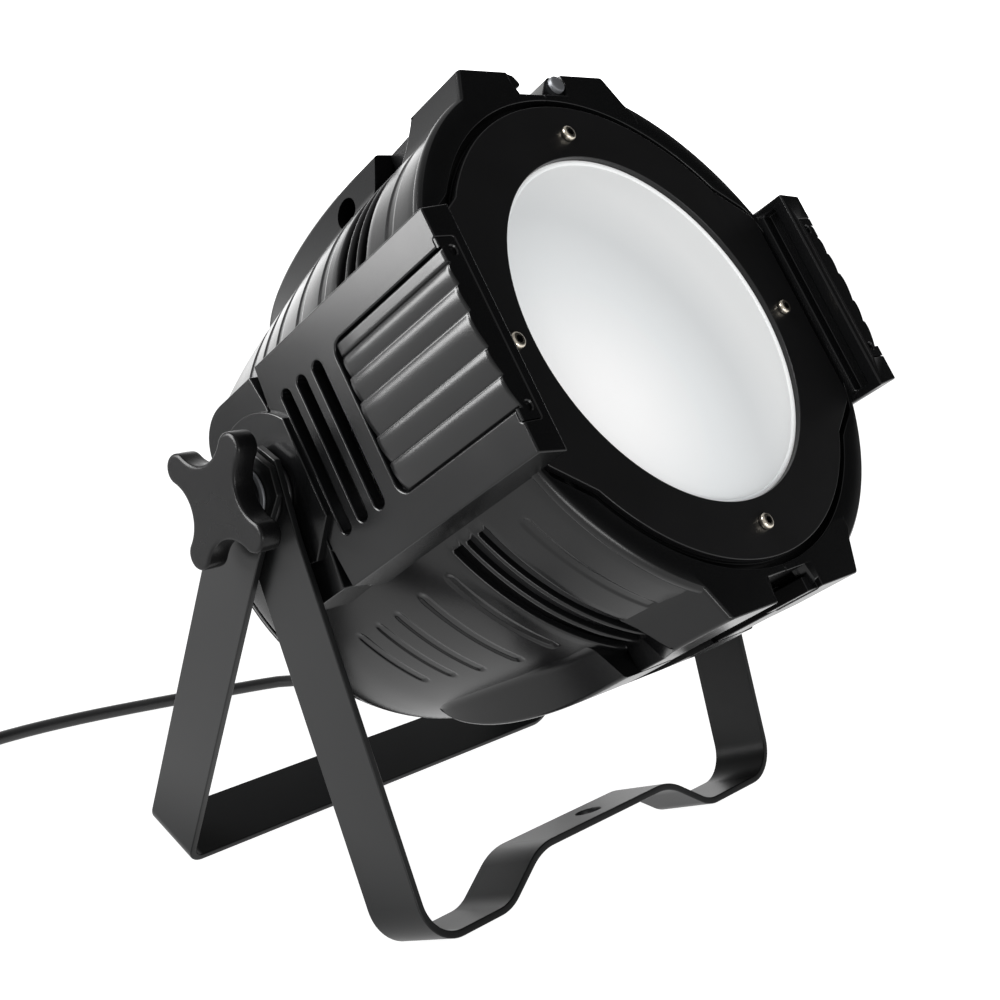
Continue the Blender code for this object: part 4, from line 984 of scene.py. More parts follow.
def right_top():
    def sec(a, inset):
        pts = [(SPLIT, 104.0), (SPLIT, 114.3), (17.8, 114.3), (17.8, BLOCK_U)] + [(x - inset, u) for x, u in CORNER] + [
               (54.6 - inset, 111.0), (58.5 - inset, 105.6), (58.5 - inset, 100.0)]
        return [(x, a, u) for x, u in pts]
    b = loft("block", [sec(56.0, 0.0), sec(117.0, 0.0), sec(118.25, 1.25)])

    def lean(u):
        k = 0.47 * (u - BLOCK_U)
        return [(80.0, 86.2 + k, u), (48.0, 86.2 + k, u), (38.3, 72.6 + k, u), (36.2, 40.0 + k, u), (80.0, 40.0 + k, u)]
    cut(b, loft("narrow", [lean(90.0), lean(135.0)]))
    cut(b, turned("bore", [(BEZEL_IN, 112.0), (BEZEL_IN, 140.0)], 200))
    join(b, prism("knuckle", [(-1.6, 112.0), (20.0, 112.0), (20.0, 124.9), (11.0, 124.9), (7.6, 122.6)],
                  88.0, 116.4, along_a))
    return soften(b, 0.5, 3, 28.0)


put(right_top(), "right_top_block", "can", CAST, "black_cast", AT_CAN, RS)


def right_bottom():
    def sec(a, inset):
        pts = [(SPLIT, -104.0), (SPLIT, -114.3), (18.5, -114.3), (18.5, -BLOCK_U)] + [(x - inset, -u) for x, u in CORNER] + [
               (54.6 - inset, -111.0), (58.5 - inset, -105.6), (58.5 - inset, -100.0)]
        return [(x, a, u) for x, u in pts]
    b = loft("block", [sec(56.0, 0.0), sec(117.0, 0.0), sec(118.25, 1.25)])

    def lean(u):
        k = 0.47 * (u - BLOCK_U)
        return [(80.0, 86.2 + k, -u), (48.0, 86.2 + k, -u), (38.3, 72.6 + k, -u), (36.2, 40.0 + k, -u), (80.0, 40.0 + k, -u)]
    cut(b, loft("narrow", [lean(90.0), lean(135.0)]))
    cut(b, turned("bore", [(BEZEL_IN, 112.0), (BEZEL_IN, 140.0)], 200))
    join(b, box("lug", 11.0, 20.0, 92.0, 115.5, -124.9, -118.3))
    return soften(b, 0.5, 3, 28.0)


# painted shade: the walls inside the window through the block are painted near-black
tint(put(right_bottom(), "right_bottom_block", "can", CAST, "black_cast", AT_CAN, RS), PAINTED_SHADE, AT_CAN, in_window)
bpy.data.objects.remove(rb, do_unlink=True)

plain = mirrored(keel(-1), "right_top_fin")
plain.data.transform(Matrix.Scale(-1, 4, Vector((0, 0, 1))))
plain.data.flip_normals()
smooth(plain, 32)
put(plain, "right_top_fin", "can", CAST, "black_cast", AT_CAN, RS)
for o in list(bpy.data.objects):
    if o.name.startswith("keel"):
        bpy.data.objects.remove(o, do_unlink=True)


# ---------------------------------------------------------------- side panels
def panel():
    s = prism("panel", [(-100.0, 50.4), (-PANEL_IN, 51.0), (-PANEL_X, PANEL_U), (-PANEL_X, -PANEL_U),
                        (-PANEL_IN, -51.0), (-100.0, -50.4)], PANEL_REAR, 113.0, along_a)
    join(s, prism("lip", [(-PANEL_IN, 51.0), (-PANEL_X, PANEL_U), (-PANEL_X, -PANEL_U), (-PANEL_IN, -51.0)],
                  110.0, PANEL_A, along_a))
    cut(s, box("cavity", -121.0, -90.0, PANEL_REAR + 3.5, 108.0, -46.0, 46.0))
    cut(s, box("channel", -118.0, -100.0, 121.6, 128.4, -47.0, 47.0))
    cut(s, prism("recess", rounded(64.5, 150.0, -32.4, 33.6, 6.0), -140.0, -123.8, along_x))
    cut(s, box("cap_seat", -140.0, -117.4, 133.4, 150.0, -37.2, 37.2))
    for ac in (29.9, 41.2, 52.5):
        cut(s, prism("slot", rounded(ac - 3.0, ac + 3.0, -31.0, 33.0, 2.98, 6), -140.0, -110.0, along_x))
    for sg in (1, -1):
        cut(s, prism("vee", [(PANEL_REAR - 1.0, sg * 33.0), (PANEL_REAR + 0.2, sg * 33.0), (PANEL_REAR + 2.4, sg * 53.0),
                             (PANEL_REAR - 1.0, sg * 53.0)], -140.0, -118.0, along_x))
    return soften(s, 0.75, 3, 30.0)


put(smooth(turned("pin", [(0.5, 118.75), (3.3, 118.7), (3.75, 118.5), (4.0, 118.1), (4.0, 96.4)], 48, cx=13.0, cu=120.3), 35),
    "latch_pin", "can", PIN, "zinc_steel", AT_CAN, "gel_latch_pin")

pair(panel(), ("left_side_panel", "right_side_panel"), "can", CAST, "black_cast", AT_CAN, (LS, RS))


VALLEYS = (33.0, 26.6, 17.9, 7.2, -7.5, -18.7, -31.8)


def ridge_x(u):
    """Outer face of the ridged insert: a flat band, then rounded ridges that lean up, each but the first with a fine
    bead.
    """
    k = next((i for i in range(5) if u >= VALLEYS[i + 1]), 5)
    w = VALLEYS[k] - VALLEYS[k + 1]
    s = min(max((VALLEYS[k] - u) / w, 0.0), 1.0)
    if k == 0:
        return 125.45 + 1.5 * (1 - abs(2 * s - 1) ** 9)
    else:
        wave = (0.65 + 0.085 * w) * math.sin(math.pi * s ** 0.60) ** 0.85
        if k > 1:
            wave += 0.22 * math.exp(-((s * w - 0.8) / 0.40) ** 2)
    return 124.9 + 2.6 * max(1.0 - ((u - 0.6) / 33.0) ** 2, 0.0) + wave


def insert():
    """Crowned row of five rounded ridges, as a grid with a closed back."""
    us = [-31.8 + 64.8 * i / 324 for i in range(325)]
    als = [65.2, 65.5, 66.0, 67.0, 69.0, 80.0, 95.0, 110.0, 125.0, 133.0, 133.9, 134.35, 134.6]
    verts, faces = [], []
    for a in als:
        for u in us:
            x = ridge_x(u)
            k = min((a - 65.2) / 3.0, 1.0)
            drop = 3.4 * (1 - math.sqrt(max(1 - (1 - k) ** 2, 0.0)))
            f = max(a - 133.6, 0.0) / 1.0
            drop += 0.7 * f * f
            e = min(u + 31.8, 33.0 - u)
            if e < 1.2:
                drop += 0.8 * (1 - e / 1.2) ** 2
            verts.append((-max(x - drop, 124.3), -a, u))
    n, m = len(us), len(als)
    for i in range(m - 1):
        for j in range(n - 1):
            faces.append([i * n + j, i * n + j + 1, (i + 1) * n + j + 1, (i + 1) * n + j])
    back = len(verts)
    for a in als:
        for u in (us[0], us[-1]):
            verts.append((-123.95, -a, u))
    for i in range(m - 1):
        b = back + 2 * i
        faces.append([b, b + 1, b + 3, b + 2])
        faces.append([i * n, (i + 1) * n, b + 2, b])
        faces.append([i * n + n - 1, (i + 1) * n + n - 1, b + 3, b + 1])
    faces.append([back + 1, back] + list(range(n)))
    faces.append([back + 2 * m - 2, back + 2 * m - 1] + list(range(m * n - 1, (m - 1) * n - 1, -1)))
    ob = mesh_object("insert", verts, faces)
    return smooth(ob, 40)


def insert_cap():
    """Front plate of the insert: its outer edge follows the ridges and closes the recess at both ends."""
    def sec(u, x):
        return [(x, 133.5, u), (x, 134.3, u), (x + 0.12, 134.58, u), (x + 0.4, 134.7, u), (-118.2, 134.7, u),
                (-117.9, 134.58, u), (-117.8, 134.3, u), (-117.8, 133.5, u)]
    rings = [sec(-36.95, -127.2), sec(-32.12, -127.2)]
    rings += [sec(u, -ridge_x(u) + 0.35) for u in (-32.1 + 65.38 * i / 260 for i in range(261))]
    rings += [sec(33.3, -127.2), sec(36.95, -127.2)]
    cap = loft("cap", rings)
    for x, u in ((-121.0, 31.6), (-121.0, -31.6)):
        cut(cap, turned("hole", [(1.9, 130.0), (1.9, 134.2), (2.4, 134.75), (2.4, 140.0)], 32, cx=x, cu=u))
    return smooth(cap, 18)


pair(insert(), ("left_ridges", "right_ridges"), "can", RIDGE, "black_cast", AT_CAN, ("left_ridge_panel", "right_ridge_panel"))
pair(insert_cap(), ("left_ridge_cap", "right_ridge_cap"), "can", CAST, "black_cast", AT_CAN,
     ("left_ridge_panel", "right_ridge_panel"))


# ---------------------------------------------------------------- pivot plates
def pad_outline(n=12):
    r = 19.0
    front = PANEL_REAR - 0.7
    pts = [(front, 33.0), (front - 2.2, 47.6)]
    for cx, cu, s in ((-10.0, 28.6, 1), (-10.0, -29.0, 2)):
        for i in range(n + 1):
            t = math.pi / 2 * (s + i / n)
            pts.append((cx + r * math.cos(t), cu + r * math.sin(t)))
    pts += [(front - 2.2, -48.0), (front, -31.0)]
    return pts


def boss_outline(n=40):
    t0 = math.acos(BOSS_FLAT / BOSS_R)
    pts = []
    for i in range(n + 1):
        t = t0 + (math.pi * 1.42 - t0) * i / n
        pts.append((BOSS_R * math.cos(t), AXIS_DROP + BOSS_R * math.sin(t)))
    return pts + [(9.3, -33.3), (BOSS_FLAT, -20.5)]


pad = prism("pad", pad_outline(), -PANEL_X, -100.0, along_x)
soften(pad, 0.7, 3, 30.0)
pair(pad, ("left_pivot_pad", "right_pivot_pad"), "can", CAST, "black_cast", AT_CAN, ("left_pivot_plate", "right_pivot_plate"))
boss = prism("boss", boss_outline(), -BOSS_X, -118.0, along_x)
cut(boss, turned("bore", [(BOLT_R + 0.3, -140.0), (BOLT_R + 0.3, -90.0)], 40, place=about_x(0.0, AXIS_DROP)))
soften(boss, 0.6, 3, 30.0)
pair(boss, ("left_pivot_boss", "right_pivot_boss"), "can", CAST, "black_cast", AT_CAN, ("left_pivot_plate", "right_pivot_plate"))


# ---------------------------------------------------------------- front plate, lens, screws
fp = prism("fp", [(PLATE_R * math.cos(2 * math.pi * k / 240), PLATE_R * math.sin(2 * math.pi * k / 240)) for k in range(240)],
           116.0, 119.0, along_a)
for sg in (-1, 1):
    join(fp, prism("tab", [(sg * 70.0, 74.0), (sg * 84.8, 64.8), (sg * 106.0, 50.2), (sg * 109.2, 46.6), (sg * 109.2, -46.6),
                           (sg * 106.0, -50.2), (sg * 84.8, -64.8), (sg * 70.0, -74.0)], 116.0, 119.0, along_a))
cut(fp, turned("opening", [(LENS_R, 110.0), (LENS_R, 125.0)], 240))
for k in range(4):
    t = math.pi / 2 * k
    cut(fp, turned("hole", [(2.5, 110.0), (2.5, 125.0)], 24, cx=SCREW_PCR * math.cos(t), cu=SCREW_PCR * math.sin(t)))
soften(fp, 0.45, 3, 40.0)
put(fp, "front_plate_fine", "can", PLATE, "black_plate", AT_CAN, "front_plate")

lens_prof = [(87.4, 112.4), (87.4, 115.4), (82.6, 115.55), (82.0, 116.2), (81.7, 116.45), (80.9, 116.45), (80.4, 116.2), (79.9, 115.7)]
for i in range(1, 13):
    r = 79.9 * (1 - i / 12.0)
    lens_prof.append((max(r, 0.4), 115.6 + 0.0 * r))
lens = turned("lens", lens_prof, 240)
smooth(lens, 35)
put(lens, "frosted_front", "can", LENS, "frosted", AT_CAN, "diffuser_lens")

for k, nm in enumerate(("right", "top", "left", "bottom")):
    t = math.pi / 2 * k
    cx, cu = SCREW_PCR * math.cos(t), SCREW_PCR * math.sin(t)
    sc = turned("screw", [(1.9, 121.75), (2.5, 121.7), (3.0, 121.5), (3.35, 121.1), (3.5, 120.5), (3.5, 119.5), (3.4, 119.25),
                          (2.1, 119.25), (2.1, 108.0)], 40, cx=cx, cu=cu)
    cut(sc, turned("socket", [(1.75, 119.8), (1.75, 123.0)], 6, cx=cx, cu=cu))
    smooth(sc, 35)
    put(sc, "socket_screw_" + nm, "can", NICKEL, "nickel", AT_CAN, "plate_screw_" + nm)
    # painted shade: the inside of the hex socket is painted near-black
    tint(sc, PAINTED_SHADE, AT_CAN, lambda x, a, u, n: math.hypot(x - cx, u - cu) < 1.72 and 119.0 < a < 121.6)


# ---------------------------------------------------------------- knobs
KNOB_TURN = math.radians(22.9) + TILT


def knob_outline():
    """Four rounded arms with smooth scallops between them."""
    tip, at, mid = 6.4, 25.0, Vector((22.2, 22.2))
    hollow = (mid - Vector((at, 0.0))).length - tip
    end = math.atan2(mid.y, mid.x - at)
    t0 = math.atan2(-mid.y, at - mid.x)
    pts = []
    for k in range(4):
        turn = KNOB_TURN + k * math.pi / 2
        arm = [Vector((at + tip * math.cos(f), tip * math.sin(f))) for f in (end * (i / 14.0 - 1) for i in range(29))]
        sweep = 2 * (t0 + math.radians(135.0))
        arm += [mid + hollow * Vector((math.cos(f), math.sin(f))) for f in (t0 - sweep * i / 22 for i in range(1, 22))]
        c, sn = math.cos(turn), math.sin(turn)
        pts += [Vector((v.x * c - v.y * sn, v.x * sn + v.y * c)) for v in arm]
    n = len(pts)
    out = []
    for i in range(n):
        d = (pts[(i + 1) % n] - pts[i - 1]).normalized()
        out.append((pts[i], Vector((d.y, -d.x))))
    return out


def knob(sg):
    out = knob_outline()
    n = len(out)
    levels = [(148.6, 1.9), (148.2, 1.4), (148.22, 1.1), (148.5, 0.5), (149.0, 0.15), (149.8, 0.0), (153.4, -0.05), (157.4, 0.0),
              (157.85, 0.1), (158.15, 0.3), (158.35, 0.6), (158.45, 1.0), (158.5, 1.4), (158.5, 1.8)]
    verts, faces = [], []
    for x, d in levels:
        verts += [(sg * x, p.x - q.x * d, p.y - q.y * d) for p, q in out]
    for k in (0.72, 0.4):
        verts += [(sg * 158.5, (p.x - q.x * 1.8) * k, (p.y - q.y * 1.8) * k) for p, q in out]
    m = len(levels) + 2
    for j in range(m - 1):
        for i in range(n):
            i2 = (i + 1) % n
            faces.append([j * n + i, j * n + i2, (j + 1) * n + i2, (j + 1) * n + i])
    faces.append(list(range(n)))
    faces.append(list(range((m - 1) * n, m * n)))
    k = mesh_object("knob", verts, faces)
    place = lambda r, t, xx: (sg * xx, r * math.cos(t), r * math.sin(t))
    join(k, turned("hub", [(10.2, 143.4), (10.8, 143.8), (11.2, 149.9)], 64, place=place))
    return smooth(k, 40)


for sg, nm in ((-1, "left"), (1, "right")):
    put(knob(sg), nm + "_clamp_knob", nm + "_knob", KNOB_MAT, "black_plastic", AT_PIVOT, nm + "_knob")


# ---------------------------------------------------------------- yokes
def smooth_path(pts, radius, n=14):
    out = [pts[0]]
    for i in range(1, len(pts) - 1):
        p0, p1, p2 = Vector(pts[i - 1]), Vector(pts[i]), Vector(pts[i + 1])
        d0, d1 = (p0 - p1).normalized(), (p2 - p1).normalized()
        ang = d0.angle(d1)
        r = radius[i - 1]
        back = r / math.tan(ang / 2)
        c = p1 + (d0 + d1).normalized() * (r / math.sin(ang / 2))
        s, e = p1 + d0 * back - c, p1 + d1 * back - c
        for k in range(n + 1):
            f = k / n
            out.append(tuple(c + (s * (1 - f) + e * f).normalized() * r))
    out.append(pts[-1])
    return out


def strap(name, path, splay, forward):
    n = len(path)
    inner = []
    for i in range(n):
        a = Vector(path[max(i - 1, 0)])
        b = Vector(path[min(i + 1, n - 1)])
        if 0 < i < n - 1:
            t1 = (Vector(path[i]) - a).normalized()
            t2 = (b - Vector(path[i])).normalized()
            t = (t1 + t2).normalized()
            k = 1.0 / max(0.5, t.dot(t1))
        else:
            t = (b - a).normalized()
            k = 1.0
        inner.append(tuple(Vector(path[i]) + Vector((t.y, -t.x)) * STRAP_T * k))
    b = math.radians(splay)
    h = STRAP_W / 2

    def place(x, L, q):
        return (x, forward * (L * math.sin(b) + q * math.cos(b)), -L * math.cos(b) + q * math.sin(b))
    # rings of the cross section along the strap, with rounded edges
    e = 0.55
    verts, faces = [], []
    for o, i in zip(path, inner):
        o, i = Vector(o), Vector(i)
        d = (i - o).normalized()
        w = (i - o).length
        sec = []
        for q0, r0, cq, cr in ((h - e, e, 1, -1), (h - e, w - e, 1, 1), (-h + e, w - e, -1, 1), (-h + e, e, -1, -1)):
            order = (0, 0.5, 1) if cq * cr < 0 else (1, 0.5, 0)
            for f in order:
                ang = f * math.pi / 2
                sec.append((q0 + cq * e * math.sin(ang), r0 + cr * e * math.cos(ang)))
        for q, rr in sec:
            p = o + d * rr
            verts.append(place(p.x, p.y, q))
    m = 12
    for k in range(n - 1):
        for j in range(m):
            j2 = (j + 1) % m
            faces.append([k * m + j, k * m + j2, (k + 1) * m + j2, (k + 1) * m + j])
    faces.append(list(range(m)))
    faces.append(list(range((n - 1) * m, n * m)))
    return mesh_object(name, verts, faces), place


def yoke(name, tops, bases, leg, splay, forward, mid, bend):
    top = -18.0
    pts, rad = [], []
    for sg, xt, xb in ((-1, tops[0], bases[0]), (1, tops[1], bases[1])):
        half = [(sg * xt, top), (sg * xt, 22.0), (sg * xb, leg)]
        r = [60.0, bend]
        if mid:
            near = 77.0 if sg < 0 else 68.5
            half += [(sg * near, leg), (sg * (near - 26.0), leg - mid)]
            r += [22.0, 28.0]
        pts += half if sg < 0 else half[::-1]
        rad += r if sg < 0 else r[::-1]
    ob, place = strap(name, smooth_path(pts, rad), splay, forward)
    for sg, xt in ((-1, tops[0]), (1, tops[1])):
        for q in (-1, 1):
            h = STRAP_W / 2
            clip = [(q * (h - 8.0), top - 0.02), (q * (h + 2.0), top + 10.02), (q * (h + 2.0), top - 4.0), (q * (h - 8.0), top - 4.0)]
            cut(ob, prism("clip", clip, sg * (xt - 12.0), sg * (xt + 8.0), lambda p, L, x: place(x, L, p)))
        cut(ob, turned("eye", [(BOLT_R + 0.4, xt - 15.0), (BOLT_R + 0.4, xt + 10.0)], 48,
                       place=lambda r, t, x, s=sg: (s * x, r * math.cos(t), r * math.sin(t))))
    return ob, place


fy, fplace = yoke("fy", (INNER_TOP, OUTER_TOP), FRONT_BASE, FRONT_LEG, FRONT_SPLAY, -1, FRONT_RAISE, 20.0)
cut(fy, turned("clamp_hole", [(6.2, FRONT_LEG - 40.0), (6.2, FRONT_LEG + 5.0)], 48,
               place=lambda r, t, L: fplace(r * math.cos(t), L, r * math.sin(t))))
ry, rplace = yoke("ry", (OUTER_TOP, INNER_TOP), REAR_BASE, REAR_LEG, REAR_SPLAY, 1, 0.0, 9.0)
for ob in (fy, ry):
    soften(ob, 0.5, 2, 55.0, tidy=False)
put(fy, "front_yoke_strap", "front_yoke", STRAP, "black_strap", AT_STAND, "front_yoke")
put(ry, "rear_yoke_strap", "rear_yoke", STRAP, "black_strap", AT_STAND, "rear_yoke")

# ---------------------------------------------------------------- rear cover and its fittings
SOCKETS = ((-38.0, -34.0), (-2.0, -48.0))
FUSE = (46.0, -42.0)
BUTTONS = (("menu", -24.0), ("down", -8.0), ("up", 8.0), ("enter", 24.0))
rc = turned("rc", [(79.6, -101.4), (82.6, -101.4), (82.6, -98.3)], 192)
for i in range(5):
    u = 38.0 + 7.5 * i
    hw = math.sqrt(71.0 ** 2 - (u + 2.0) ** 2) - 3.0
    cut(rc, prism("grille", rounded(-hw, hw, u - 1.9, u + 1.9, 1.88, 8), -110.0, -90.0, along_a))
cut(rc, prism("window", rounded(-34.0, 34.0, -9.0, 27.0, 3.0, 8), -110.0, -90.0, along_a))
for cx, cu in SOCKETS:
    cut(rc, turned("socket_hole", [(11.6, -110.0), (11.6, -90.0)], 64, cx=cx, cu=cu))
for cx, cu in (GLAND, FUSE):
    cut(rc, turned("fitting_hole", [(6.6, -110.0), (6.6, -90.0)], 48, cx=cx, cu=cu))
for k in range(4):
    t = math.pi / 4 + math.pi / 2 * k
    cut(rc, turned("hole", [(2.2, -110.0), (2.2, -90.0)], 32, cx=77.5 * math.cos(t), cu=77.5 * math.sin(t)))
soften(rc, 0.45, 3, 35.0)
put(rc, "rear_cover_fine", "can", COVER, "black_cast", AT_CAN, "rear_cover")

for k, nm in enumerate(("upper_right", "upper_left", "lower_left", "lower_right")):
    t = math.pi / 4 + math.pi / 2 * k
    cx, cu = 77.5 * math.cos(t), 77.5 * math.sin(t)
    sc = turned("screw", [(0.5, -104.0), (1.5, -103.95), (2.3, -103.7), (2.9, -103.2), (3.2, -102.5), (3.2, -101.7), (1.5, -101.6),
                          (1.5, -91.0)], 48, cx=cx, cu=cu)
    for du, dx in ((0.42, 1.9), (1.9, 0.42)):
        cut(sc, box("cross", cx - dx, cx + dx, -106.0, -102.9, cu - du, cu + du))
    smooth(sc, 35)
    put(sc, "cover_screw_" + nm, "can", ZINC, "zinc_steel", AT_CAN, "rear_screw_" + nm)

cp = prism("cp", rounded(-33.6, 33.6, -8.6, 26.6, 2.8, 8), -101.6, -96.0, along_a)
join(cp, prism("flange", rounded(-37.0, 37.0, -12.0, 30.0, 3.0, 8), -97.9, -95.9, along_a))
join(cp, prism("frame", rounded(-19.6, 19.6, 7.4, 25.2, 2.4, 8), -102.1, -100.0, along_a))
for nm, cx in BUTTONS:
    join(cp, turned("collar", [(5.5, -102.1), (5.5, -100.0)], 56, cx=cx))
cut(cp, prism("display_seat", rounded(-17.3, 17.3, 9.7, 23.3, 1.2, 6), -110.0, -99.4, along_a))
for nm, cx in BUTTONS:
    cut(cp, turned("button_hole", [(3.8, -110.0), (3.8, -90.0)], 48, cx=cx))
soften(cp, 0.35, 3, 35.0)
put(cp, "control_panel_fine", "can", PLASTIC, "black_plastic", AT_CAN, "control_panel")

dw = prism("dw", rounded(-17.0, 17.0, 10.0, 23.0, 1.0, 6), -101.2, -99.7, along_a)
soften(dw, 0.25, 3, 35.0)
put(dw, "display_glass", "can", SCREEN, "display", AT_CAN, "display_window")
bars, quads = [], []
for cx in (-11.7, -3.9, 3.9, 11.7):
    for x0, u0, along in ((0, 4.2, 0), (0, 0, 0), (0, -4.2, 0), (-2.1, 2.1, 1), (2.1, 2.1, 1), (-2.1, -2.1, 1), (2.1, -2.1, 1)):
        w, h = (1.6, 0.42) if not along else (0.42, 1.6)
        six = [(-w, 0), (-w + h, -h), (w - h, -h), (w, 0), (w - h, h), (-w + h, h)] if not along else [
            (0, -h), (w, -h + w), (w, h - w), (0, h), (-w, h - w), (-w, -h + w)]
        n0 = len(bars)
        lean = 0.1
        for a in (-101.23, -101.1):
            bars += [(cx + x0 + x - lean * (u0 + u), -a, 16.5 + u0 + u) for x, u in six]
        quads += [[n0 + i for i in range(6)], [n0 + 11 - i for i in range(6)]]
        quads += [[n0 + i, n0 + (i + 1) % 6, n0 + 6 + (i + 1) % 6, n0 + 6 + i] for i in range(6)]
put(mesh_object("segments", bars, quads), "display_segments", "can", SEGMENT, "display", AT_CAN, "display_window")

for nm, cx in BUTTONS:
    b = turned("button", [(0.5, -103.7), (1.7, -103.66), (2.5, -103.5), (3.1, -103.15), (3.4, -102.6), (3.5, -102.0), (3.5, -95.2),
                          (4.8, -95.2), (4.8, -93.2)], 56, cx=cx)
    put(smooth(b, 35), nm + "_key", nm + "_button", GREY, "grey_plastic", AT_CAN, nm + "_button")

for (cx, cu), nm in zip(SOCKETS, ("dmx_input_socket", "dmx_output_socket")):
    so = prism("flange", rounded(cx - 13.0, cx + 13.0, cu - 15.5, cu + 15.5, 3.0, 8), -103.8, -101.75, along_a)
    join(so, turned("barrel", [(11.2, -102.5), (11.2, -84.0)], 96, cx=cx, cu=cu))
    join(so, turned("collar", [(10.4, -104.9), (10.4, -103.0)], 96, cx=cx, cu=cu))
    cut(so, turned("mouth", [(8.5, -110.0), (8.5, -92.0)], 96, cx=cx, cu=cu))
    soften(so, 0.4, 3, 35.0)
    extra = []
    for t in (90.0, 210.0, 330.0):
        px, pu = cx + 4.6 * math.cos(math.radians(t)), cu + 4.6 * math.sin(math.radians(t))
        extra.append((px, pu))
    if nm == "dmx_input_socket":
        for px, pu in extra:
            join(so, turned("pin", [(0.4, -101.4), (0.9, -101.2), (1.2, -100.7), (1.2, -91.0)], 28, cx=px, cu=pu))
    else:
        core = turned("core", [(7.2, -102.6), (7.6, -102.2), (7.6, -91.0)], 96, cx=cx, cu=cu)
        for px, pu in extra:
            cut(core, turned("way", [(1.45, -110.0), (1.45, -95.0)], 32, cx=px, cu=pu))
        cut(core, box("key_slot", cx - 1.0, cx + 1.0, -106.0, -95.0, cu - 9.0, cu - 6.2))
        join(so, core)
        tab = prism("tab", rounded(cx - 3.6, cx + 3.6, cu + 9.0, cu + 14.4, 1.0, 5), -106.2, -103.2, along_a)
        join(so, soften(tab, 0.5, 3, 35.0))
    heads = [(cx - 9.6, cu + 12.4), (cx + 9.6, cu - 12.4)]
    for px, pu in heads:
        head = turned("head", [(0.4, -105.0), (1.3, -104.9), (1.9, -104.5), (2.2, -103.9), (2.2, -103.4)], 36, cx=px, cu=pu)
        for du, dx in ((0.32, 1.3), (1.3, 0.32)):
            cut(head, box("cross", px - dx, px + dx, -107.0, -104.3, pu - du, pu + du))
        join(so, head)
    smooth(so, 35)
    put(so, nm + "_fine", "can", PLASTIC, "black_plastic", AT_CAN, nm)
    pins = extra if nm == "dmx_input_socket" else []
    tint(so, ZINC, AT_CAN, lambda x, a, u, n: (a < -103.85 and any(math.hypot(x - px, u - pu) < 2.25 for px, pu in heads))
         or any(math.hypot(x - px, u - pu) < 1.25 and a < -92.2 for px, pu in pins))


def fluted(cx, cu, count, depth, lo, hi):
    """Place a turned profile with grip flutes between two levels."""
    def place(r, t, a):
        r -= depth * (0.5 - 0.5 * math.cos(count * t)) ** 2 if lo <= a <= hi else 0.0
        return (cx + r * math.cos(t), -a, cu + r * math.sin(t))
    return place


fu = turned("fuse", [(6.9, -111.0), (7.5, -110.9), (7.95, -110.5), (8.15, -109.9), (8.2, -109.6), (8.2, -104.4), (8.2, -104.0),
                     (9.0, -103.8), (9.2, -103.4), (9.2, -101.75), (6.2, -101.7), (6.2, -86.0)], 216,
            place=fluted(FUSE[0], FUSE[1], 18, 0.5, -109.7, -104.3))
cut(fu, box("coin_slot", FUSE[0] - 6.0, FUSE[0] + 6.0, -114.0, -109.4, FUSE[1] - 0.8, FUSE[1] + 0.8))
put(smooth(fu, 40), "fuse_cap", "can", PLASTIC, "black_plastic", AT_CAN, "fuse_holder")

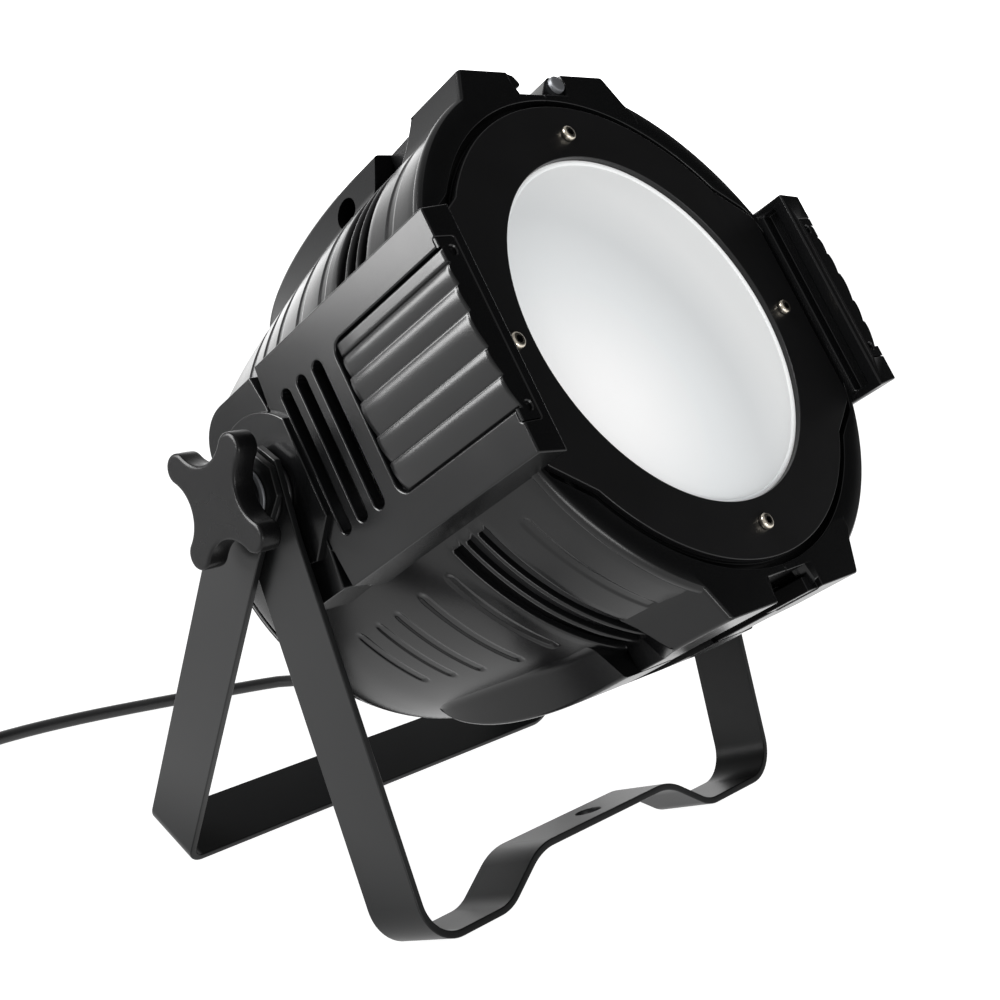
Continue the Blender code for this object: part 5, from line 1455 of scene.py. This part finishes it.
gl = turned("nut", [(10.4, -101.75), (11.3, -102.4), (11.3, -106.3), (10.4, -107.0)], 6, cx=GLAND[0], cu=GLAND[1])
soften(gl, 0.3, 2, 20.0)
join(gl, turned("thread", [(6.2, -92.0), (6.2, -103.0)], 48, cx=GLAND[0], cu=GLAND[1]))
join(gl, turned("dome", [(8.7, -106.8), (8.9, -107.2), (8.9, -107.6), (8.9, -110.6), (8.6, -111.4), (7.9, -112.3), (7.1, -112.9)], 216,
                place=fluted(GLAND[0], GLAND[1], 12, 0.55, -110.8, -107.5)))
sleeve = [(7.0, -112.5)]
for i in range(9):
    r, a = 7.0 - 0.27 * i, -113.2 - 2.65 * i
    sleeve += [(r, a), (r, a - 1.5), (r - 0.25, a - 1.7), (r - 0.95, a - 1.8), (r - 0.95, a - 2.45)]
sleeve += [(4.75, -137.0), (4.7, -137.7), (4.4, -138.1)]
join(gl, turned("sleeve", sleeve, 64, cx=GLAND[0], cu=GLAND[1]))
put(smooth(gl, 35), "lead_gland", "can", PLASTIC, "black_plastic", AT_CAN, "cable_gland")

# ---------------------------------------------------------------- pivot bolts and washers
for sg, nm in ((-1, "left"), (1, "right")):
    def spin(r, t, x, s=sg):
        return (s * x, r * math.cos(t), r * math.sin(t))
    bolt = turned("bolt", [(8.5, 111.0), (8.5, 117.6), (BOLT_R, 117.6), (BOLT_R, 155.4), (4.4, 156.0)], 56, place=spin)
    put(smooth(bolt, 35), nm + "_bolt", "can", ZINC, "zinc_steel", AT_PIVOT, nm + "_pivot_bolt")
    for wn, x0, x1, r in (("inner", 130.4, 132.2, 15.0), ("middle", 136.1, 137.9, 15.0), ("outer", 141.7, 143.1, 12.0)):
        w = ring("w", [(r - 0.3, x0), (r, x0 + 0.3), (r, x1 - 0.3), (r - 0.3, x1), (BOLT_R + 0.3, x1), (BOLT_R + 0.3, x0)], 112, place=spin)
        put(smooth(w, 50), "%s_%s_ring" % (nm, wn), "can", RUBBER if wn != "outer" else PIN,
            "rubber" if wn != "outer" else "zinc_steel", AT_PIVOT, "%s_%s_washer" % (nm, wn))

# ---------------------------------------------------------------- finishes of the CAD pieces that stay
KEEP = {
    "shell_joining_screw": (ZINC, "zinc_steel"),
    "lens_gasket": (RUBBER, "rubber"), "reflector": (ALU, "bare_alu"), "led_module": (PHOSPHOR, "phosphor"),
    "heat_sink": (ALU, "bare_alu"), "fan_frame": (PLASTIC, "black_plastic"), "fan_rotor": (PLASTIC, "black_plastic"),
    "power_supply": (ALU, "bare_alu"), "driver_board": (BOARD, "board"),
    "cord_tie": (RUBBER, "rubber"), "mains_plug": (PLASTIC, "black_plastic"),
}
for nm, (mat, slot) in KEEP.items():
    o = frame["nodes"][nm]
    o.data.materials.clear()
    o.data.materials.append(mat)
